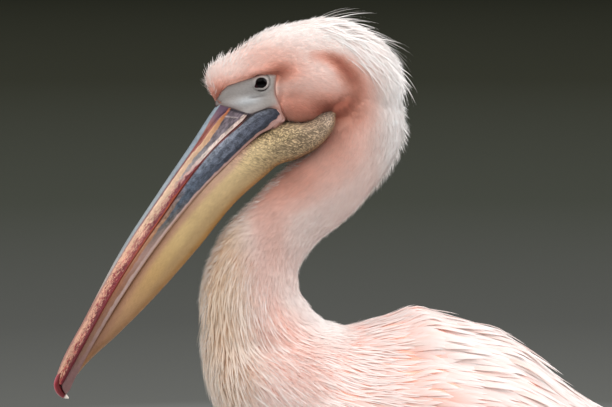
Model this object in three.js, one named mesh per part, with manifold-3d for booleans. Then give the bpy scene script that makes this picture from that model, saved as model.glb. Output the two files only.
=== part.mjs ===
// A great white pelican, adult, life size: it stands on both webbed feet with the neck drawn back
// in an S and the long bill held low in front of the breast. A still model, in one solid for each
// named part of the bird. Millimetres, +Z up. The bird faces -X, so its left side is on -Y.
import * as THREE from "three";
import { mergeVertices } from "three/addons/utils/BufferGeometryUtils.js";
import Module from "manifold-3d";

const wasm = await Module();
wasm.setup();

// ---------------------------------------------------------------- driving dimensions

const GAP = 0.5; // between neighbouring solids
const SIDES = [
  ["left", -1],
  ["right", 1],
];

const BILL_LENGTH = 391; // from the feathers of the forehead to the nail
const BILL_BASE = { x: -227, z: 714 };
const BILL_SLOPE = THREE.MathUtils.degToRad(60.4); // below level
const NAIL_START = 372; // along the bill

const HEAD_FRONT = -240;
const HEAD_REAR = -2;
const EYE = { x: -176, y: 18.5, z: 743, radius: 11 };
const CHEEK = { x: -104, y: 22, z: 733, size: [46, 21, 40] };
const CREST = { x: -84, z: 735, radius: 83, half: 30, depth: 8, from: -28, to: 112 };

const TRUNK_FRONT = -246;
const TRUNK_REAR = 390;
const TAIL_LENGTH = 165;
const HIP = { x: 70, y: 60, z: 232 };
const ANKLE = { x: 92, y: 68, z: 146 };
const FOOT = { x: 44, y: 72, z: 11 };
const WEB_THICKNESS = 3.5;

// The toes, each with its heading from straight ahead (outwards is positive), its length and its
// half thickness at the root.
const TOES = [
  { name: "hind", heading: -98, length: 46, half: 5.5 },
  { name: "inner", heading: -30, length: 96, half: 7 },
  { name: "middle", heading: 2, length: 124, half: 7.5 },
  { name: "outer", heading: 30, length: 116, half: 7 },
];

// ---------------------------------------------------------------- outlines

// A smooth function through [position, value] pairs, level beyond both ends.
function profile(...pairs) {
  const positions = pairs.map(([at]) => at);
  const values = pairs.map(([, value]) => value);
  const curve = new THREE.CubicInterpolant(positions, values, 1);
  return (at) => curve.evaluate(at)[0];
}

// The bill, by the distance along it: heights are above the straight line from base to tip.
const culmen = profile([-20, -3], [0, 0], [54, 4], [125, 10], [200, 15], [298, 13], [372, 9]);
const tomium = profile([-20, -44], [0, -35], [27, -27], [74, -16], [154, -6], [215, 0], [391, 0]);
const maxillaHalf = profile([-20, 26], [0, 23], [60, 18], [150, 17], [250, 19], [330, 16], [385, 8]);
const ramusLow = profile([-36, -86], [-5, -68], [44, -47], [98, -32], [177, -18], [258, -11], [372, -8]);
const ramusOuter = profile([-36, 35], [0, 31], [60, 25], [150, 22], [250, 20], [330, 14], [374, 6]);
const ramusHalf = profile([-36, 5], [0, 5.5], [100, 4], [374, 2.5]);
const pouchTop = profile([-60, -122], [-40, -98], [-20, -60], [0, -46], [60, -26], [200, -8], [372, -4]);
const pouchLow = profile(
  [-60, -133], [-24, -133], [0, -122], [43, -93], [82, -79], [161, -64], [230, -49], [295, -31], [345, -15], [372, -10],
);
const pouchHalf = profile([-60, 18], [-40, 35], [0, 34], [60, 26], [150, 23], [250, 20], [330, 13], [372, 5]);

// The head, by its place along X.
const crown = profile(
  [-240, 752], [-236, 761], [-222, 771], [-203, 781], [-174, 800], [-130, 812], [-85, 817], [-50, 809], [-20, 784], [-6, 757], [-2, 740],
);
const chin = profile([-240, 745], [-236, 733], [-227, 716], [-203, 704], [-150, 697], [-90, 690], [-40, 692], [-8, 710], [-2, 730]);
const headHalf = profile(
  [-240, 4], [-232, 10], [-218, 16], [-200, 21], [-174, 26.5], [-140, 33], [-100, 38], [-60, 40], [-20, 34], [-6, 20], [-2, 8],
);

// The neck, by its share of the length from the head down.
const neckLine = new THREE.CatmullRomCurve3(
  [
    [-62, 744], [-42, 696], [-80, 634], [-140, 579], [-176, 532], [-186, 488], [-172, 440], [-118, 378],
  ].map(([x, z]) => new THREE.Vector3(x, 0, z)),
);
const neckDepth = profile([0, 40], [0.15, 44], [0.35, 48], [0.5, 47], [0.62, 53], [0.75, 62], [0.87, 74], [1, 76]);
const neckHalf = profile([0, 36], [0.15, 38], [0.35, 38], [0.5, 39], [0.62, 46], [0.75, 58], [0.87, 80], [1, 108]);

// The trunk, by its place along X. The last pairs lead on under the wing tips and the tail.
const back = profile(
  [-246, 412], [-232, 437], [-200, 452], [-170, 456], [-81, 448], [-10, 456], [30, 458], [120, 416], [245, 334], [330, 284], [390, 250], [470, 218],
);
const belly = profile(
  [-246, 396], [-238, 364], [-224, 332], [-175, 275], [-110, 235], [-40, 207], [40, 190], [120, 188], [200, 194], [280, 206], [340, 216], [390, 222], [470, 196],
);
const trunkHalf = profile(
  [-246, 12], [-238, 46], [-220, 76], [-170, 108], [-110, 130], [-40, 144], [40, 148], [120, 142], [200, 124], [280, 95], [340, 64], [375, 44], [390, 36], [470, 30],
);

// ---------------------------------------------------------------- making solids

// A closed surface of rings. place(share, angle, reach) gives the point at that share of the
// length and that angle round it: reach is 1 on the surface and 0 at the middle of an end.
function loft(sides, steps, place, grow = 0) {
  const geometry = new THREE.CylinderGeometry(1, 1, 1, sides, steps);
  const position = geometry.getAttribute("position");
  for (let i = 0; i < position.count; i++) {
    const across = position.getX(i);
    const along = position.getZ(i);
    const point = place(0.5 - position.getY(i), Math.atan2(across, along), Math.hypot(across, along));
    position.setXYZ(i, point.x, point.y, point.z);
  }
  return solid(geometry, grow);
}

// A manifold-3d solid of a closed geometry, with its faces turned outwards and then moved out.
function solid(geometry, grow = 0) {
  const bare = new THREE.BufferGeometry();
  bare.setAttribute("position", geometry.getAttribute("position"));
  bare.setIndex(geometry.getIndex());
  const merged = mergeVertices(bare, 1e-3);
  const made = manifoldOf(merged);
  if (made.volume() > 0 && grow === 0) return made;
  if (made.volume() < 0) {
    const corners = merged.getIndex();
    for (let i = 0; i < corners.count; i += 3) {
      const second = corners.getX(i + 1);
      corners.setX(i + 1, corners.getX(i + 2));
      corners.setX(i + 2, second);
    }
  }
  merged.computeVertexNormals();
  const position = merged.getAttribute("position");
  for (let i = 0; i < position.count; i++) {
    const normal = new THREE.Vector3().fromBufferAttribute(merged.getAttribute("normal"), i);
    const point = new THREE.Vector3().fromBufferAttribute(position, i).addScaledVector(normal, grow);
    position.setXYZ(i, point.x, point.y, point.z);
  }
  return manifoldOf(merged);
}

function manifoldOf(geometry) {
  const vertProperties = geometry.getAttribute("position").array;
  const triVerts = new Uint32Array(geometry.getIndex().array);
  return new wasm.Manifold(new wasm.Mesh({ numProp: 3, vertProperties, triVerts }));
}

function geometryOf(made) {
  const { numProp, numVert, vertProperties, triVerts } = made.getMesh();
  const position = new Float32Array(numVert * 3);
  for (let i = 0; i < numVert; i++) {
    position.set(vertProperties.subarray(i * numProp, i * numProp + 3), i * 3);
  }
  const geometry = new THREE.BufferGeometry();
  geometry.setAttribute("position", new THREE.BufferAttribute(position, 3));
  geometry.setIndex(new THREE.BufferAttribute(new Uint32Array(triVerts), 1));
  geometry.computeVertexNormals();
  return geometry;
}

// A box, placed by its middle and turned about Y.
function block(width, depth, height, x, y, z, turn = 0) {
  const geometry = new THREE.BoxGeometry(width, depth, height);
  geometry.rotateY(turn);
  geometry.translate(x, y, z);
  return solid(geometry);
}

function ball(radii, x, y, z, sides = 12, rings = 8) {
  const geometry = new THREE.SphereGeometry(1, sides, rings);
  geometry.scale(...radii);
  geometry.translate(x, y, z);
  return solid(geometry);
}

// What is left of a cut solid after slivers are dropped.
function largest(made) {
  return made.decompose().reduce((best, one) => (one.volume() > best.volume() ? one : best));
}

// The pieces of a parted solid, each named by a point inside it.
function named(made, marks) {
  const pieces = made.decompose();
  return Object.fromEntries(
    Object.entries(marks).map(([name, [x, y, z]]) => {
      const mark = block(2, 2, 2, x, y, z);
      const piece = pieces.find((one) => one.intersect(mark).volume() > 1);
      if (!piece) throw new Error(`nothing lies at the mark of ${name}`);
      return [name, piece];
    }),
  );
}

// ---------------------------------------------------------------- head, neck and trunk

const eased = (share) => (1 - Math.cos(Math.PI * share)) / 2; // closer steps at both ends

// A body of upright oval slices between two places along X.
function sliced(sides, steps, from, to, top, low, half, grow) {
  const place = (share, angle, reach) => {
    const x = THREE.MathUtils.lerp(from, to, eased(share));
    const middle = (top(x) + low(x)) / 2;
    const rise = ((top(x) - low(x)) / 2) * reach * Math.cos(angle);
    return new THREE.Vector3(x, half(x) * reach * Math.sin(angle), middle + rise);
  };
  return loft(sides, steps, place, grow);
}

function headShape(grow) {
  let head = sliced(18, 12, HEAD_FRONT, HEAD_REAR, crown, chin, headHalf, grow);
  for (const [, side] of SIDES) {
    const radii = CHEEK.size.map((radius) => radius + grow);
    head = head.add(ball(radii, CHEEK.x, side * CHEEK.y, CHEEK.z, 12, 7));
  }
  return head;
}

function neckShape(grow) {
  const place = (share, angle, reach) => {
    const forward = neckLine.getTangentAt(share);
    const across = new THREE.Vector3(forward.z, 0, -forward.x);
    const depth = neckDepth(share) * reach * Math.cos(angle);
    const width = new THREE.Vector3(0, neckHalf(share) * reach * Math.sin(angle), 0);
    return neckLine.getPointAt(share).addScaledVector(across, depth).add(width);
  };
  return loft(18, 14, place, grow);
}

function trunkShape(grow) {
  return sliced(20, 14, TRUNK_FRONT, TRUNK_REAR, back, belly, trunkHalf, grow);
}

function fleshShape(grow) {
  return headShape(grow).add(neckShape(grow)).add(trunkShape(grow));
}

// A thin disc across the neck, which parts one length from the next.
function neckCut(share, radius) {
  const disc = new THREE.CylinderGeometry(radius, radius, GAP, 24);
  const turn = new THREE.Quaternion().setFromUnitVectors(new THREE.Vector3(0, 1, 0), neckLine.getTangentAt(share));
  disc.applyQuaternion(turn);
  disc.translate(...neckLine.getPointAt(share).toArray());
  return solid(disc);
}

function eyeSocket(side) {
  const radius = EYE.radius + GAP;
  return ball([radius, radius, radius], EYE.x, side * EYE.y, EYE.z);
}

function fleshParts() {
  const lean = THREE.MathUtils.degToRad(12);
  const cuts = [
    neckCut(0.22, 62),
    neckCut(0.42, 62),
    neckCut(0.62, 72),
    neckCut(0.8, 88),
    block(GAP, 400, 350, -95, 0, 355), // breast from trunk
    block(398, 400, GAP, 99, 0, 320, lean), // back from belly
    block(GAP, 400, 300, 292, 0, 240), // trunk from rump
    eyeSocket(-1),
    eyeSocket(1),
  ];
  const parted = cuts.reduce((flesh, cut) => flesh.subtract(cut), fleshShape(0));
  return named(parted, {
    head: [-120, 0, 755],
    neck_upper: neckLine.getPointAt(0.32).toArray(),
    neck_middle: neckLine.getPointAt(0.52).toArray(),
    neck_lower: neckLine.getPointAt(0.72).toArray(),
    breast: [-170, 0, 345],
    back: [100, 0, 390],
    belly: [100, 0, 240],
    rump: [340, 0, 250],
  });
}

const fleshClear = fleshShape(GAP);

// ---------------------------------------------------------------- bill and pouch

// A place by the distance along the bill, the height over its straight line and the side offset.
function onBill(along, height, offset) {
  const sine = Math.sin(BILL_SLOPE);
  const cosine = Math.cos(BILL_SLOPE);
  return new THREE.Vector3(
    BILL_BASE.x - along * cosine - height * sine,
    offset,
    BILL_BASE.z - along * sine + height * cosine,
  );
}

// The upper bill: a flat roof with a raised ridge down the middle and a thin flat underside.
function maxillaShape(from, to, grow) {
  const underside = 2.5;
  const place = (share, angle, reach) => {
    const along = THREE.MathUtils.lerp(from, to, share);
    const high = Math.cos(angle);
    const rise = culmen(along) - tomium(along);
    const height = tomium(along) + (high > 0 ? rise * high ** 1.4 : underside * high);
    const middle = tomium(along) + rise * 0.3;
    const offset = maxillaHalf(along) * Math.sin(angle) * reach;
    return onBill(along, THREE.MathUtils.lerp(middle, height, reach), offset);
  };
  return loft(12, 11, place, grow);
}

// The hooked nail: the last of the upper bill, bent down over the tip of the lower one.
function nailShape() {
  const hook = 19;
  return loft(10, 7, (share, angle, reach) => {
    const bend = share * THREE.MathUtils.degToRad(105);
    const along = NAIL_START + GAP + hook * Math.sin(bend);
    const height = 2 - hook * 0.9 * (1 - Math.cos(bend));
    const thin = 1 - 0.78 * share ** 1.5;
    const rise = 6.8 * thin * reach * Math.cos(angle);
    const offset = 9.5 * thin * reach * Math.sin(angle);
    return onBill(along + rise * Math.sin(bend), height + rise * Math.cos(bend), offset);
  });
}

// One arm of the lower bill, on edge under the side of the upper one.
function ramusShape(side, grow) {
  const from = -36;
  const to = 372;
  const place = (share, angle, reach) => {
    const along = THREE.MathUtils.lerp(from, to, share);
    const top = tomium(along) - 3;
    const rounded = Math.min(1, Math.sqrt(Math.max(share, 0.04) * 8));
    const rise = ((top - ramusLow(along)) / 2) * rounded;
    const height = (top + ramusLow(along)) / 2 + rise * reach * Math.cos(angle);
    const offset = ramusOuter(along) - ramusHalf(along) * (1 - reach * Math.sin(angle));
    return onBill(along, height, side * offset);
  };
  return loft(8, 10, place, grow);
}

// The pouch: a bag of skin that hangs between the arms of the lower bill, back to the throat.
function pouchShape() {
  const from = -60;
  const to = 371;
  return loft(14, 13, (share, angle, reach) => {
    const along = THREE.MathUtils.lerp(from, to, share);
    const rise = (pouchTop(along) - pouchLow(along)) / 2;
    const middle = (pouchTop(along) + pouchLow(along)) / 2;
    const full = 1 - 0.28 * Math.max(0, -Math.cos(angle)) ** 2; // narrower towards the bottom
    const offset = pouchHalf(along) * full * reach * Math.sin(angle);
    return onBill(along, middle + rise * reach * Math.cos(angle), offset);
  });
}

function billParts() {
  const maxilla = largest(maxillaShape(-20, NAIL_START, 0).subtract(fleshClear));
  const maxillaClear = maxillaShape(-20, NAIL_START, GAP);
  const nail = nailShape();
  const parts = { maxilla, nail };
  let pouch = pouchShape().subtract(fleshClear).subtract(maxillaClear);
  for (const [name, side] of SIDES) {
    const ramus = ramusShape(side, 0).subtract(fleshClear).subtract(maxillaClear).subtract(nail);
    parts[`mandible_${name}`] = largest(ramus);
    pouch = pouch.subtract(ramusShape(side, GAP));
  }
  parts.pouch = largest(pouch.subtract(nail));
  return parts;
}

// ---------------------------------------------------------------- crest, wings and tail

// The shaggy crest: a crescent of long feathers laid over the back of the head.
function crestShape() {
  const shape = loft(8, 10, (share, angle, reach) => {
    const turn = THREE.MathUtils.degToRad(THREE.MathUtils.lerp(CREST.from, CREST.to, share));
    const taper = Math.sqrt(Math.max(0.02, Math.sin(Math.PI * share)));
    const radius = CREST.radius + CREST.depth * taper * reach * Math.cos(angle);
    const y = CREST.half * taper * reach * Math.sin(angle);
    return new THREE.Vector3(CREST.x + radius * Math.cos(turn), y, CREST.z + radius * Math.sin(turn));
  });
  return largest(shape.subtract(fleshClear));
}

// A point off the side of the trunk: turn is the angle above level, in degrees.
function onSide(side, x, turn, off) {
  const angle = THREE.MathUtils.degToRad(turn);
  const y = (trunkHalf(x) + off) * Math.cos(angle);
  const rise = ((back(x) - belly(x)) / 2 + off) * Math.sin(angle);
  return new THREE.Vector3(x, side * y, (back(x) + belly(x)) / 2 + rise);
}

// A layer of feathers on the side of the trunk, between two places along X. low and high give the
// angles above level that it covers, and thickness how far it stands off the trunk.
function sideLayer(side, sides, steps, from, to, low, high, thickness) {
  return loft(sides, steps, (share, angle, reach) => {
    const x = THREE.MathUtils.lerp(from, to, share);
    const turn = (high(x) + low(x)) / 2 + ((high(x) - low(x)) / 2) * reach * Math.sin(angle);
    return onSide(side, x, turn, thickness(x) * reach * Math.cos(angle));
  });
}

// The folded wing, from the wrist at the breast to the dark tips over the tail.
function wingParts(name, side) {
  const low = profile([-120, -12], [-60, -28], [60, -34], [200, -36], [300, -24], [400, 10], [460, 32]);
  const high = profile([-120, 12], [-60, 30], [60, 44], [200, 50], [300, 60], [400, 72], [460, 66]);
  const thickness = profile([-120, 7], [-60, 12], [60, 14], [250, 12], [380, 9], [460, 5]);
  const turn = THREE.MathUtils.degToRad(-20);
  const wing = sideLayer(side, 12, 14, -120, 460, low, high, thickness)
    .subtract(fleshClear)
    .subtract(block(GAP, 500, 500, 60, 0, 320, turn))
    .subtract(block(GAP, 500, 500, 270, 0, 270, turn));
  return named(largestThree(wing), {
    [`wing_${name}_coverts`]: onSide(side, -20, 0, 6).toArray(),
    [`wing_${name}_secondaries`]: onSide(side, 180, 0, 6).toArray(),
    [`wing_${name}_primaries`]: onSide(side, 350, 30, 5).toArray(),
  });
}

function largestThree(made) {
  const pieces = made.decompose().sort((a, b) => b.volume() - a.volume());
  return pieces.slice(0, 3).reduce((all, one) => all.add(one));
}

// The long shoulder feathers, which lie over the back from the neck to the rump.
function scapularShape(side) {
  const low = profile([-70, 60], [0, 47], [60, 46], [200, 52], [300, 62]);
  const high = profile([-70, 76], [0, 86], [60, 88], [200, 87], [300, 82]);
  const thickness = profile([-70, 7], [0, 12], [60, 12], [200, 9], [300, 5]);
  return largest(sideLayer(side, 10, 10, -70, 300, low, high, thickness).subtract(fleshClear));
}

// The short rounded tail, a flat fan.
function tailShape(clear) {
  const half = profile([0, 40], [0.3, 54], [0.7, 74], [0.9, 72], [1, 50]);
  const start = TRUNK_REAR - 30;
  const slope = THREE.MathUtils.degToRad(-15);
  const tail = loft(10, 7, (share, angle, reach) => {
    const along = TAIL_LENGTH * share;
    const arch = 10 * (1 - Math.sin(angle) ** 2 * reach) - 5;
    const thin = THREE.MathUtils.lerp(7, 2.5, share);
    return new THREE.Vector3(
      start + along * Math.cos(slope),
      half(share) * reach * Math.sin(angle),
      233 + along * Math.sin(slope) + arch + thin * reach * Math.cos(angle),
    );
  });
  return largest(tail.subtract(clear));
}

// ---------------------------------------------------------------- legs

// A straight tapered limb between two points, with an oval section.
function limb(from, to, radii, sides, steps, bulge = 0) {
  const start = new THREE.Vector3(...from);
  const end = new THREE.Vector3(...to);
  const axis = end.clone().sub(start).normalize();
  const fore = new THREE.Vector3(0, 1, 0).cross(axis).normalize();
  const aside = axis.clone().cross(fore);
  return loft(sides, steps, (share, angle, reach) => {
    const radius = THREE.MathUtils.lerp(...radii, share) * (1 + bulge * Math.sin(Math.PI * share));
    return start
      .clone()
      .lerp(end, share)
      .addScaledVector(fore, radius * reach * Math.cos(angle))
      .addScaledVector(aside, radius * 0.8 * reach * Math.sin(angle));
  });
}

function shankShape(side) {
  const ankle = [ANKLE.x, side * ANKLE.y, ANKLE.z];
  const foot = [FOOT.x, side * FOOT.y, FOOT.z + 8];
  return limb(ankle, foot, [9.5, 9], 8, 3, -0.2)
    .add(ball([13, 10, 14], ...ankle, 8, 5))
    .add(ball([11, 10, 9], ...foot, 8, 5));
}

// Where a toe ends, on the floor plan.
function toeTip(toe, side, share = 1) {
  const heading = THREE.MathUtils.degToRad(toe.heading);
  return [FOOT.x - toe.length * share * Math.cos(heading), side * (FOOT.y + toe.length * share * Math.sin(heading))];
}

// The webbed foot: four toes, with skin from each to the next, flat underneath.
function footShape(side) {
  const outline = [];
  TOES.forEach((toe, i) => {
    outline.push(new THREE.Vector2(...toeTip(toe, side, 0.97)));
    if (i === TOES.length - 1) return;
    const [ax, ay] = toeTip(toe, side, 0.87);
    const [bx, by] = toeTip(TOES[i + 1], side, 0.87);
    outline.push(new THREE.Vector2((ax + bx) / 2, (ay + by) / 2)); // the web's scalloped edge
  });
  outline.push(new THREE.Vector2(FOOT.x + 10, side * (FOOT.y + 6)), new THREE.Vector2(FOOT.x + 10, side * (FOOT.y - 6)));
  const web = new THREE.ExtrudeGeometry(new THREE.Shape(outline), { depth: WEB_THICKNESS, bevelEnabled: false });
  let foot = solid(web).add(ball([15, 13, 14], FOOT.x, side * FOOT.y, FOOT.z - 2, 8, 5));
  for (const toe of TOES) {
    const [x, y] = toeTip(toe, side);
    const root = [FOOT.x, side * FOOT.y, toe.half * 0.9];
    foot = foot.add(limb(root, [x, y, toe.half * 0.5], [toe.half, toe.half * 0.6], 8, 3));
  }
  const aboveFloor = block(600, 600, 100, 0, 0, 50);
  return largest(foot.intersect(aboveFloor));
}

// A blunt curved claw at the end of a toe.
function clawShape(toe, side) {
  const root = toe.half * 0.5;
  const [x, y] = toeTip(toe, side, 1 + GAP / toe.length);
  const [farX, farY] = toeTip(toe, side, 1 + 14 / toe.length);
  return limb([x, y, root], [farX, farY, 1.6], [root, 0.9], 6, 3, 0.1);
}

function legParts(name, side, clear) {
  const shank = shankShape(side);
  const foot = footShape(side);
  const thigh = limb([HIP.x, side * HIP.y, HIP.z], [ANKLE.x, side * ANKLE.y, ANKLE.z + 12], [40, 13], 12, 5);
  const parts = {
    [`thigh_${name}`]: largest(thigh.subtract(clear).subtract(shank)),
    [`shank_${name}`]: largest(shank.subtract(foot)),
    [`foot_${name}`]: foot,
  };
  for (const toe of TOES) parts[`claw_${name}_${toe.name}`] = clawShape(toe, side);
  return parts;
}

// ---------------------------------------------------------------- the bird

const finish = (color, roughness) => new THREE.MeshStandardMaterial({ color, roughness, metalness: 0 });
const FINISHES = {
  plumage: finish("#efcdc2", 0.9),
  flight: finish("#3a3634", 0.7),
  bill: finish("#b07c6c", 0.5),
  nail: finish("#8c2f2a", 0.4),
  mandible: finish("#5c606c", 0.5),
  pouch: finish("#b8965c", 0.6),
  eye: finish("#1c0f0c", 0.1),
  legs: finish("#d8a07c", 0.6),
  claw: finish("#6b5a50", 0.5),
};

const finishOf = [
  [/primaries/, "flight"],
  [/^(head|neck|breast|back|belly|rump|crest|wing|scapulars|tail|thigh)/, "plumage"],
  [/^maxilla/, "bill"],
  [/^nail/, "nail"],
  [/^mandible/, "mandible"],
  [/^pouch/, "pouch"],
  [/^eye/, "eye"],
  [/^(shank|foot)/, "legs"],
  [/^claw/, "claw"],
];

const parts = { ...fleshParts(), ...billParts(), crest: crestShape() };
for (const [name, side] of SIDES) {
  Object.assign(parts, wingParts(name, side));
  parts[`scapulars_${name}`] = scapularShape(side);
  parts[`eye_${name}`] = ball([EYE.radius, EYE.radius, EYE.radius], EYE.x, side * EYE.y, EYE.z);
  Object.assign(parts, legParts(name, side, fleshClear));
}
const wings = Object.entries(parts).filter(([name]) => name.startsWith("wing"));
parts.tail = tailShape(wings.reduce((clear, [, wing]) => clear.add(wing), fleshClear));

const bird = new THREE.Group();
for (const [name, made] of Object.entries(parts)) {
  const [, slot] = finishOf.find(([pattern]) => pattern.test(name));
  const mesh = new THREE.Mesh(geometryOf(made), FINISHES[slot]);
  mesh.name = name;
  bird.add(mesh);
}

// The origin is on the floor, under the middle of the bird.
const reach = new THREE.Box3().setFromObject(bird);
const middle = reach.getCenter(new THREE.Vector3());
bird.position.set(-middle.x, -middle.y, -reach.min.z);

const model = new THREE.Group();
model.add(bird);
export default model;
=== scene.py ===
# %% [markdown]
# # A great white pelican
#
# This lesson dresses a solid model of a standing pelican: one skin over its flesh, feathers from
# velvet to quills over the skin, and a bare face, bill, pouch and feet. The solid model is loaded
# first and never moved. Every place below is given in millimetres from the model's own zero, on
# the floor between the feet, with the bird facing -X.

import math

import bmesh
import bpy
import numpy as np
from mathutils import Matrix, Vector
from mathutils.bvhtree import BVHTree


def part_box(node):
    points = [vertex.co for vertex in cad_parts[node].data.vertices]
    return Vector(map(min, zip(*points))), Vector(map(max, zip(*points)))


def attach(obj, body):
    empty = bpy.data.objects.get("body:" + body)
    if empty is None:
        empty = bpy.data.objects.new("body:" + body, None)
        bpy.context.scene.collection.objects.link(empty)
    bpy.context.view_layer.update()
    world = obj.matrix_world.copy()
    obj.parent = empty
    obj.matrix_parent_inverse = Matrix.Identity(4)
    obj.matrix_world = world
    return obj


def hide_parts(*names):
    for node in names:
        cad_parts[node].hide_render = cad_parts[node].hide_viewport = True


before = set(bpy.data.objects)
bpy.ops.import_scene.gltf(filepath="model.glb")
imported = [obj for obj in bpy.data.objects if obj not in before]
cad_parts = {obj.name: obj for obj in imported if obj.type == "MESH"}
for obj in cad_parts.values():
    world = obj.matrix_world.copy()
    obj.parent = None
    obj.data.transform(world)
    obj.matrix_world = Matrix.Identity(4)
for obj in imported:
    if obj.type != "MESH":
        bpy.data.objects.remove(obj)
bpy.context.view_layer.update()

# %% Millimetres and metres
EYE = {"x": -176.0, "y": 18.5, "z": 743.0, "radius": 11.0}
eye_low, eye_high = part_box("eye_left")
ZERO_X = (eye_low.x + eye_high.x) / 2 - EYE["x"] / 1000


def metres(points):
    """Places in metres, from an array of places in the model's millimetres."""
    return np.asarray(points, float) / 1000 + [ZERO_X, 0, 0]


def millimetres(points):
    return (np.asarray(points, float) - [ZERO_X, 0, 0]) * 1000


print("the model's zero is", round(ZERO_X * 1000, 1), "mm from the middle of the box")

# %% [markdown]
# ## Camera, light and floor
#
# A long lens 3.5 m away keeps the proportions of a portrait taken from a distance. Three wide, soft
# suns shine under an even sky, so that pale feathers keep their shape without hard shadows: the key
# from above on the bird's left, a rim from behind the tail and a low one from before the bill. Suns
# are used, not lamps, because they light the whole floor alike. The floor is grey near the bird and
# darkens away from it, so that loose white plumes show against it.

# %% Colours and nodes
def linear(code, alpha=1.0):
    """A colour written as sRGB hex, as the renderer wants it."""
    parts = [int(code[i : i + 2], 16) / 255 for i in (1, 3, 5)]
    return (*(p / 12.92 if p <= 0.04045 else ((p + 0.055) / 1.055) ** 2.4 for p in parts), alpha)


def shade_of(code):
    """The same as an array of three, for colours that are worked out."""
    return np.array(linear(code)[:3])


def add(tree, kind, links=None, stops=None, **settings):
    """Adds a node. links gives its sockets, by name or number, a value, another node's socket or
    just that node, for its first socket."""
    node = tree.nodes.new("ShaderNode" + kind)
    for name, value in settings.items():
        setattr(node, name, value)
    if stops:
        ramp = node.color_ramp.elements
        while len(ramp) < len(stops):
            ramp.new(0.5)
        for element, (place, colour) in zip(ramp, sorted(stops)):
            element.position = place
            element.color = linear(colour) if isinstance(colour, str) else (colour,) * 3 + (1,)
    for name, value in (links or {}).items():
        if isinstance(value, bpy.types.Node):
            value = value.outputs[0]
        if isinstance(value, bpy.types.NodeSocket):
            tree.links.new(value, node.inputs[name])
        else:
            node.inputs[name].default_value = value
    return node


def new_material(name):
    """An empty material, its node tree and its output."""
    material = bpy.data.materials.new(name)
    material.use_nodes = True
    material.node_tree.nodes.clear()
    output = material.node_tree.nodes.new("ShaderNodeOutputMaterial")
    return material, material.node_tree, output


def finish_surface(tree, output, **sockets):
    """A Principled shader with these sockets, as the material's surface."""
    links = {name.replace("_", " "): value for name, value in sockets.items()}
    shader = add(tree, "BsdfPrincipled", links)
    tree.links.new(shader.outputs["BSDF"], output.inputs["Surface"])
    return shader


# %% Camera
DISTANCE = 3500
VIEW_WIDTH = 734.4  # across the view, in the plane through the bird
AZIMUTH, ELEVATION = math.radians(-8), math.radians(6)
TARGET = (-118.8, 0, 595.8)

lens = bpy.data.cameras.new("camera")
lens.lens = lens.sensor_width * DISTANCE / VIEW_WIDTH
camera = bpy.data.objects.new("camera", lens)
backwards = Vector((
    math.sin(AZIMUTH) * math.cos(ELEVATION),
    -math.cos(AZIMUTH) * math.cos(ELEVATION),
    math.sin(ELEVATION),
))
camera.location = Vector(metres(TARGET)) + backwards * DISTANCE / 1000
camera.rotation_mode = "QUATERNION"
camera.rotation_quaternion = (-backwards).to_track_quat("-Z", "Y")
bpy.context.scene.collection.objects.link(camera)
bpy.context.scene.camera = camera
print("lens", round(lens.lens, 1), "mm")

# %% Light
scene = bpy.context.scene
scene.view_settings.view_transform = "Standard"
world = bpy.data.worlds.new("studio")
world.use_nodes = True
world.node_tree.nodes.clear()
sky = add(world.node_tree, "Background", {"Color": linear("#f2f3f5"), "Strength": 0.86})
backdrop = add(world.node_tree, "Background", {"Color": linear("#3c3d38"), "Strength": 1.0})
path = add(world.node_tree, "LightPath")
shown = path.outputs["Is Camera Ray"]
for ray in ("Is Glossy Ray", "Is Transmission Ray"):
    shown = add(world.node_tree, "Math", {0: shown, 1: path.outputs[ray]}, operation="MAXIMUM")
seen = add(world.node_tree, "MixShader", {0: shown, 1: sky, 2: backdrop})
add(world.node_tree, "OutputWorld", {"Surface": seen})
scene.world = world


def add_sun(name, painted_light_factor, spread, azimuth, elevation, colour):
    """A sun that shines from that direction, as wide as spread degrees."""
    sun = bpy.data.lights.new(name, "SUN")
    sun.energy, sun.angle, sun.color = painted_light_factor, math.radians(spread), linear(colour)[:3]
    made = bpy.data.objects.new(name, sun)
    a, e = math.radians(azimuth), math.radians(elevation)
    towards = Vector((math.sin(a) * math.cos(e), -math.cos(a) * math.cos(e), math.sin(e)))
    made.rotation_mode = "QUATERNION"
    made.rotation_quaternion = towards.to_track_quat("Z", "Y")
    scene.collection.objects.link(made)


add_sun("key_light", 1.62, 80, -24, 54, "#fffaf6")
add_sun("rim_light", 2.6, 60, 77, 33, "#fdfdff")
add_sun("front_light", 1.35, 70, -100, 14, "#ffffff")

# %% Floor
FLOOR_RADIUS = 40  # metres, out to where the far edge is lost in the dark


def to_mesh(name, shape):
    """A mesh of a bmesh, which is then gone."""
    mesh = bpy.data.meshes.new(name)
    shape.to_mesh(mesh)
    shape.free()
    return mesh


disc = bmesh.new()
bmesh.ops.create_circle(disc, cap_ends=True, segments=96, radius=FLOOR_RADIUS)
floor_data = to_mesh("floor", disc)
floor = bpy.data.objects.new("floor", floor_data)
scene.collection.objects.link(floor)

floor_paint, tree, output = new_material("graded_floor_paint")
place = add(tree, "TexCoord")
away = add(tree, "VectorMath", {0: place.outputs["Object"]}, operation="LENGTH")
share = add(tree, "MapRange", {0: away.outputs["Value"], 1: 0.0, 2: 24.0})
tone = add(tree, "ValToRGB", {0: share}, stops=[
    (0.05, "#aeb1b0"), (0.085, "#4f504d"), (0.13, "#424340"), (0.24, "#343630"), (0.5, "#262720"),
    (1.0, "#1b1c16"),
])
finish_surface(tree, output, Base_Color=tone, Roughness=0.9, Specular_IOR_Level=0.0)
floor_data.materials.append(floor_paint)

# %% [markdown]
# ## Shaping tools
#
# Most of a bird is made of swept forms whose section changes along the way. Each one here starts
# as a flat grid, and a function bends the grid into place, so the same few lines make a bill, a
# trunk or a single quill. Sizes along a form come from a short table and a smooth curve through it.

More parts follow.
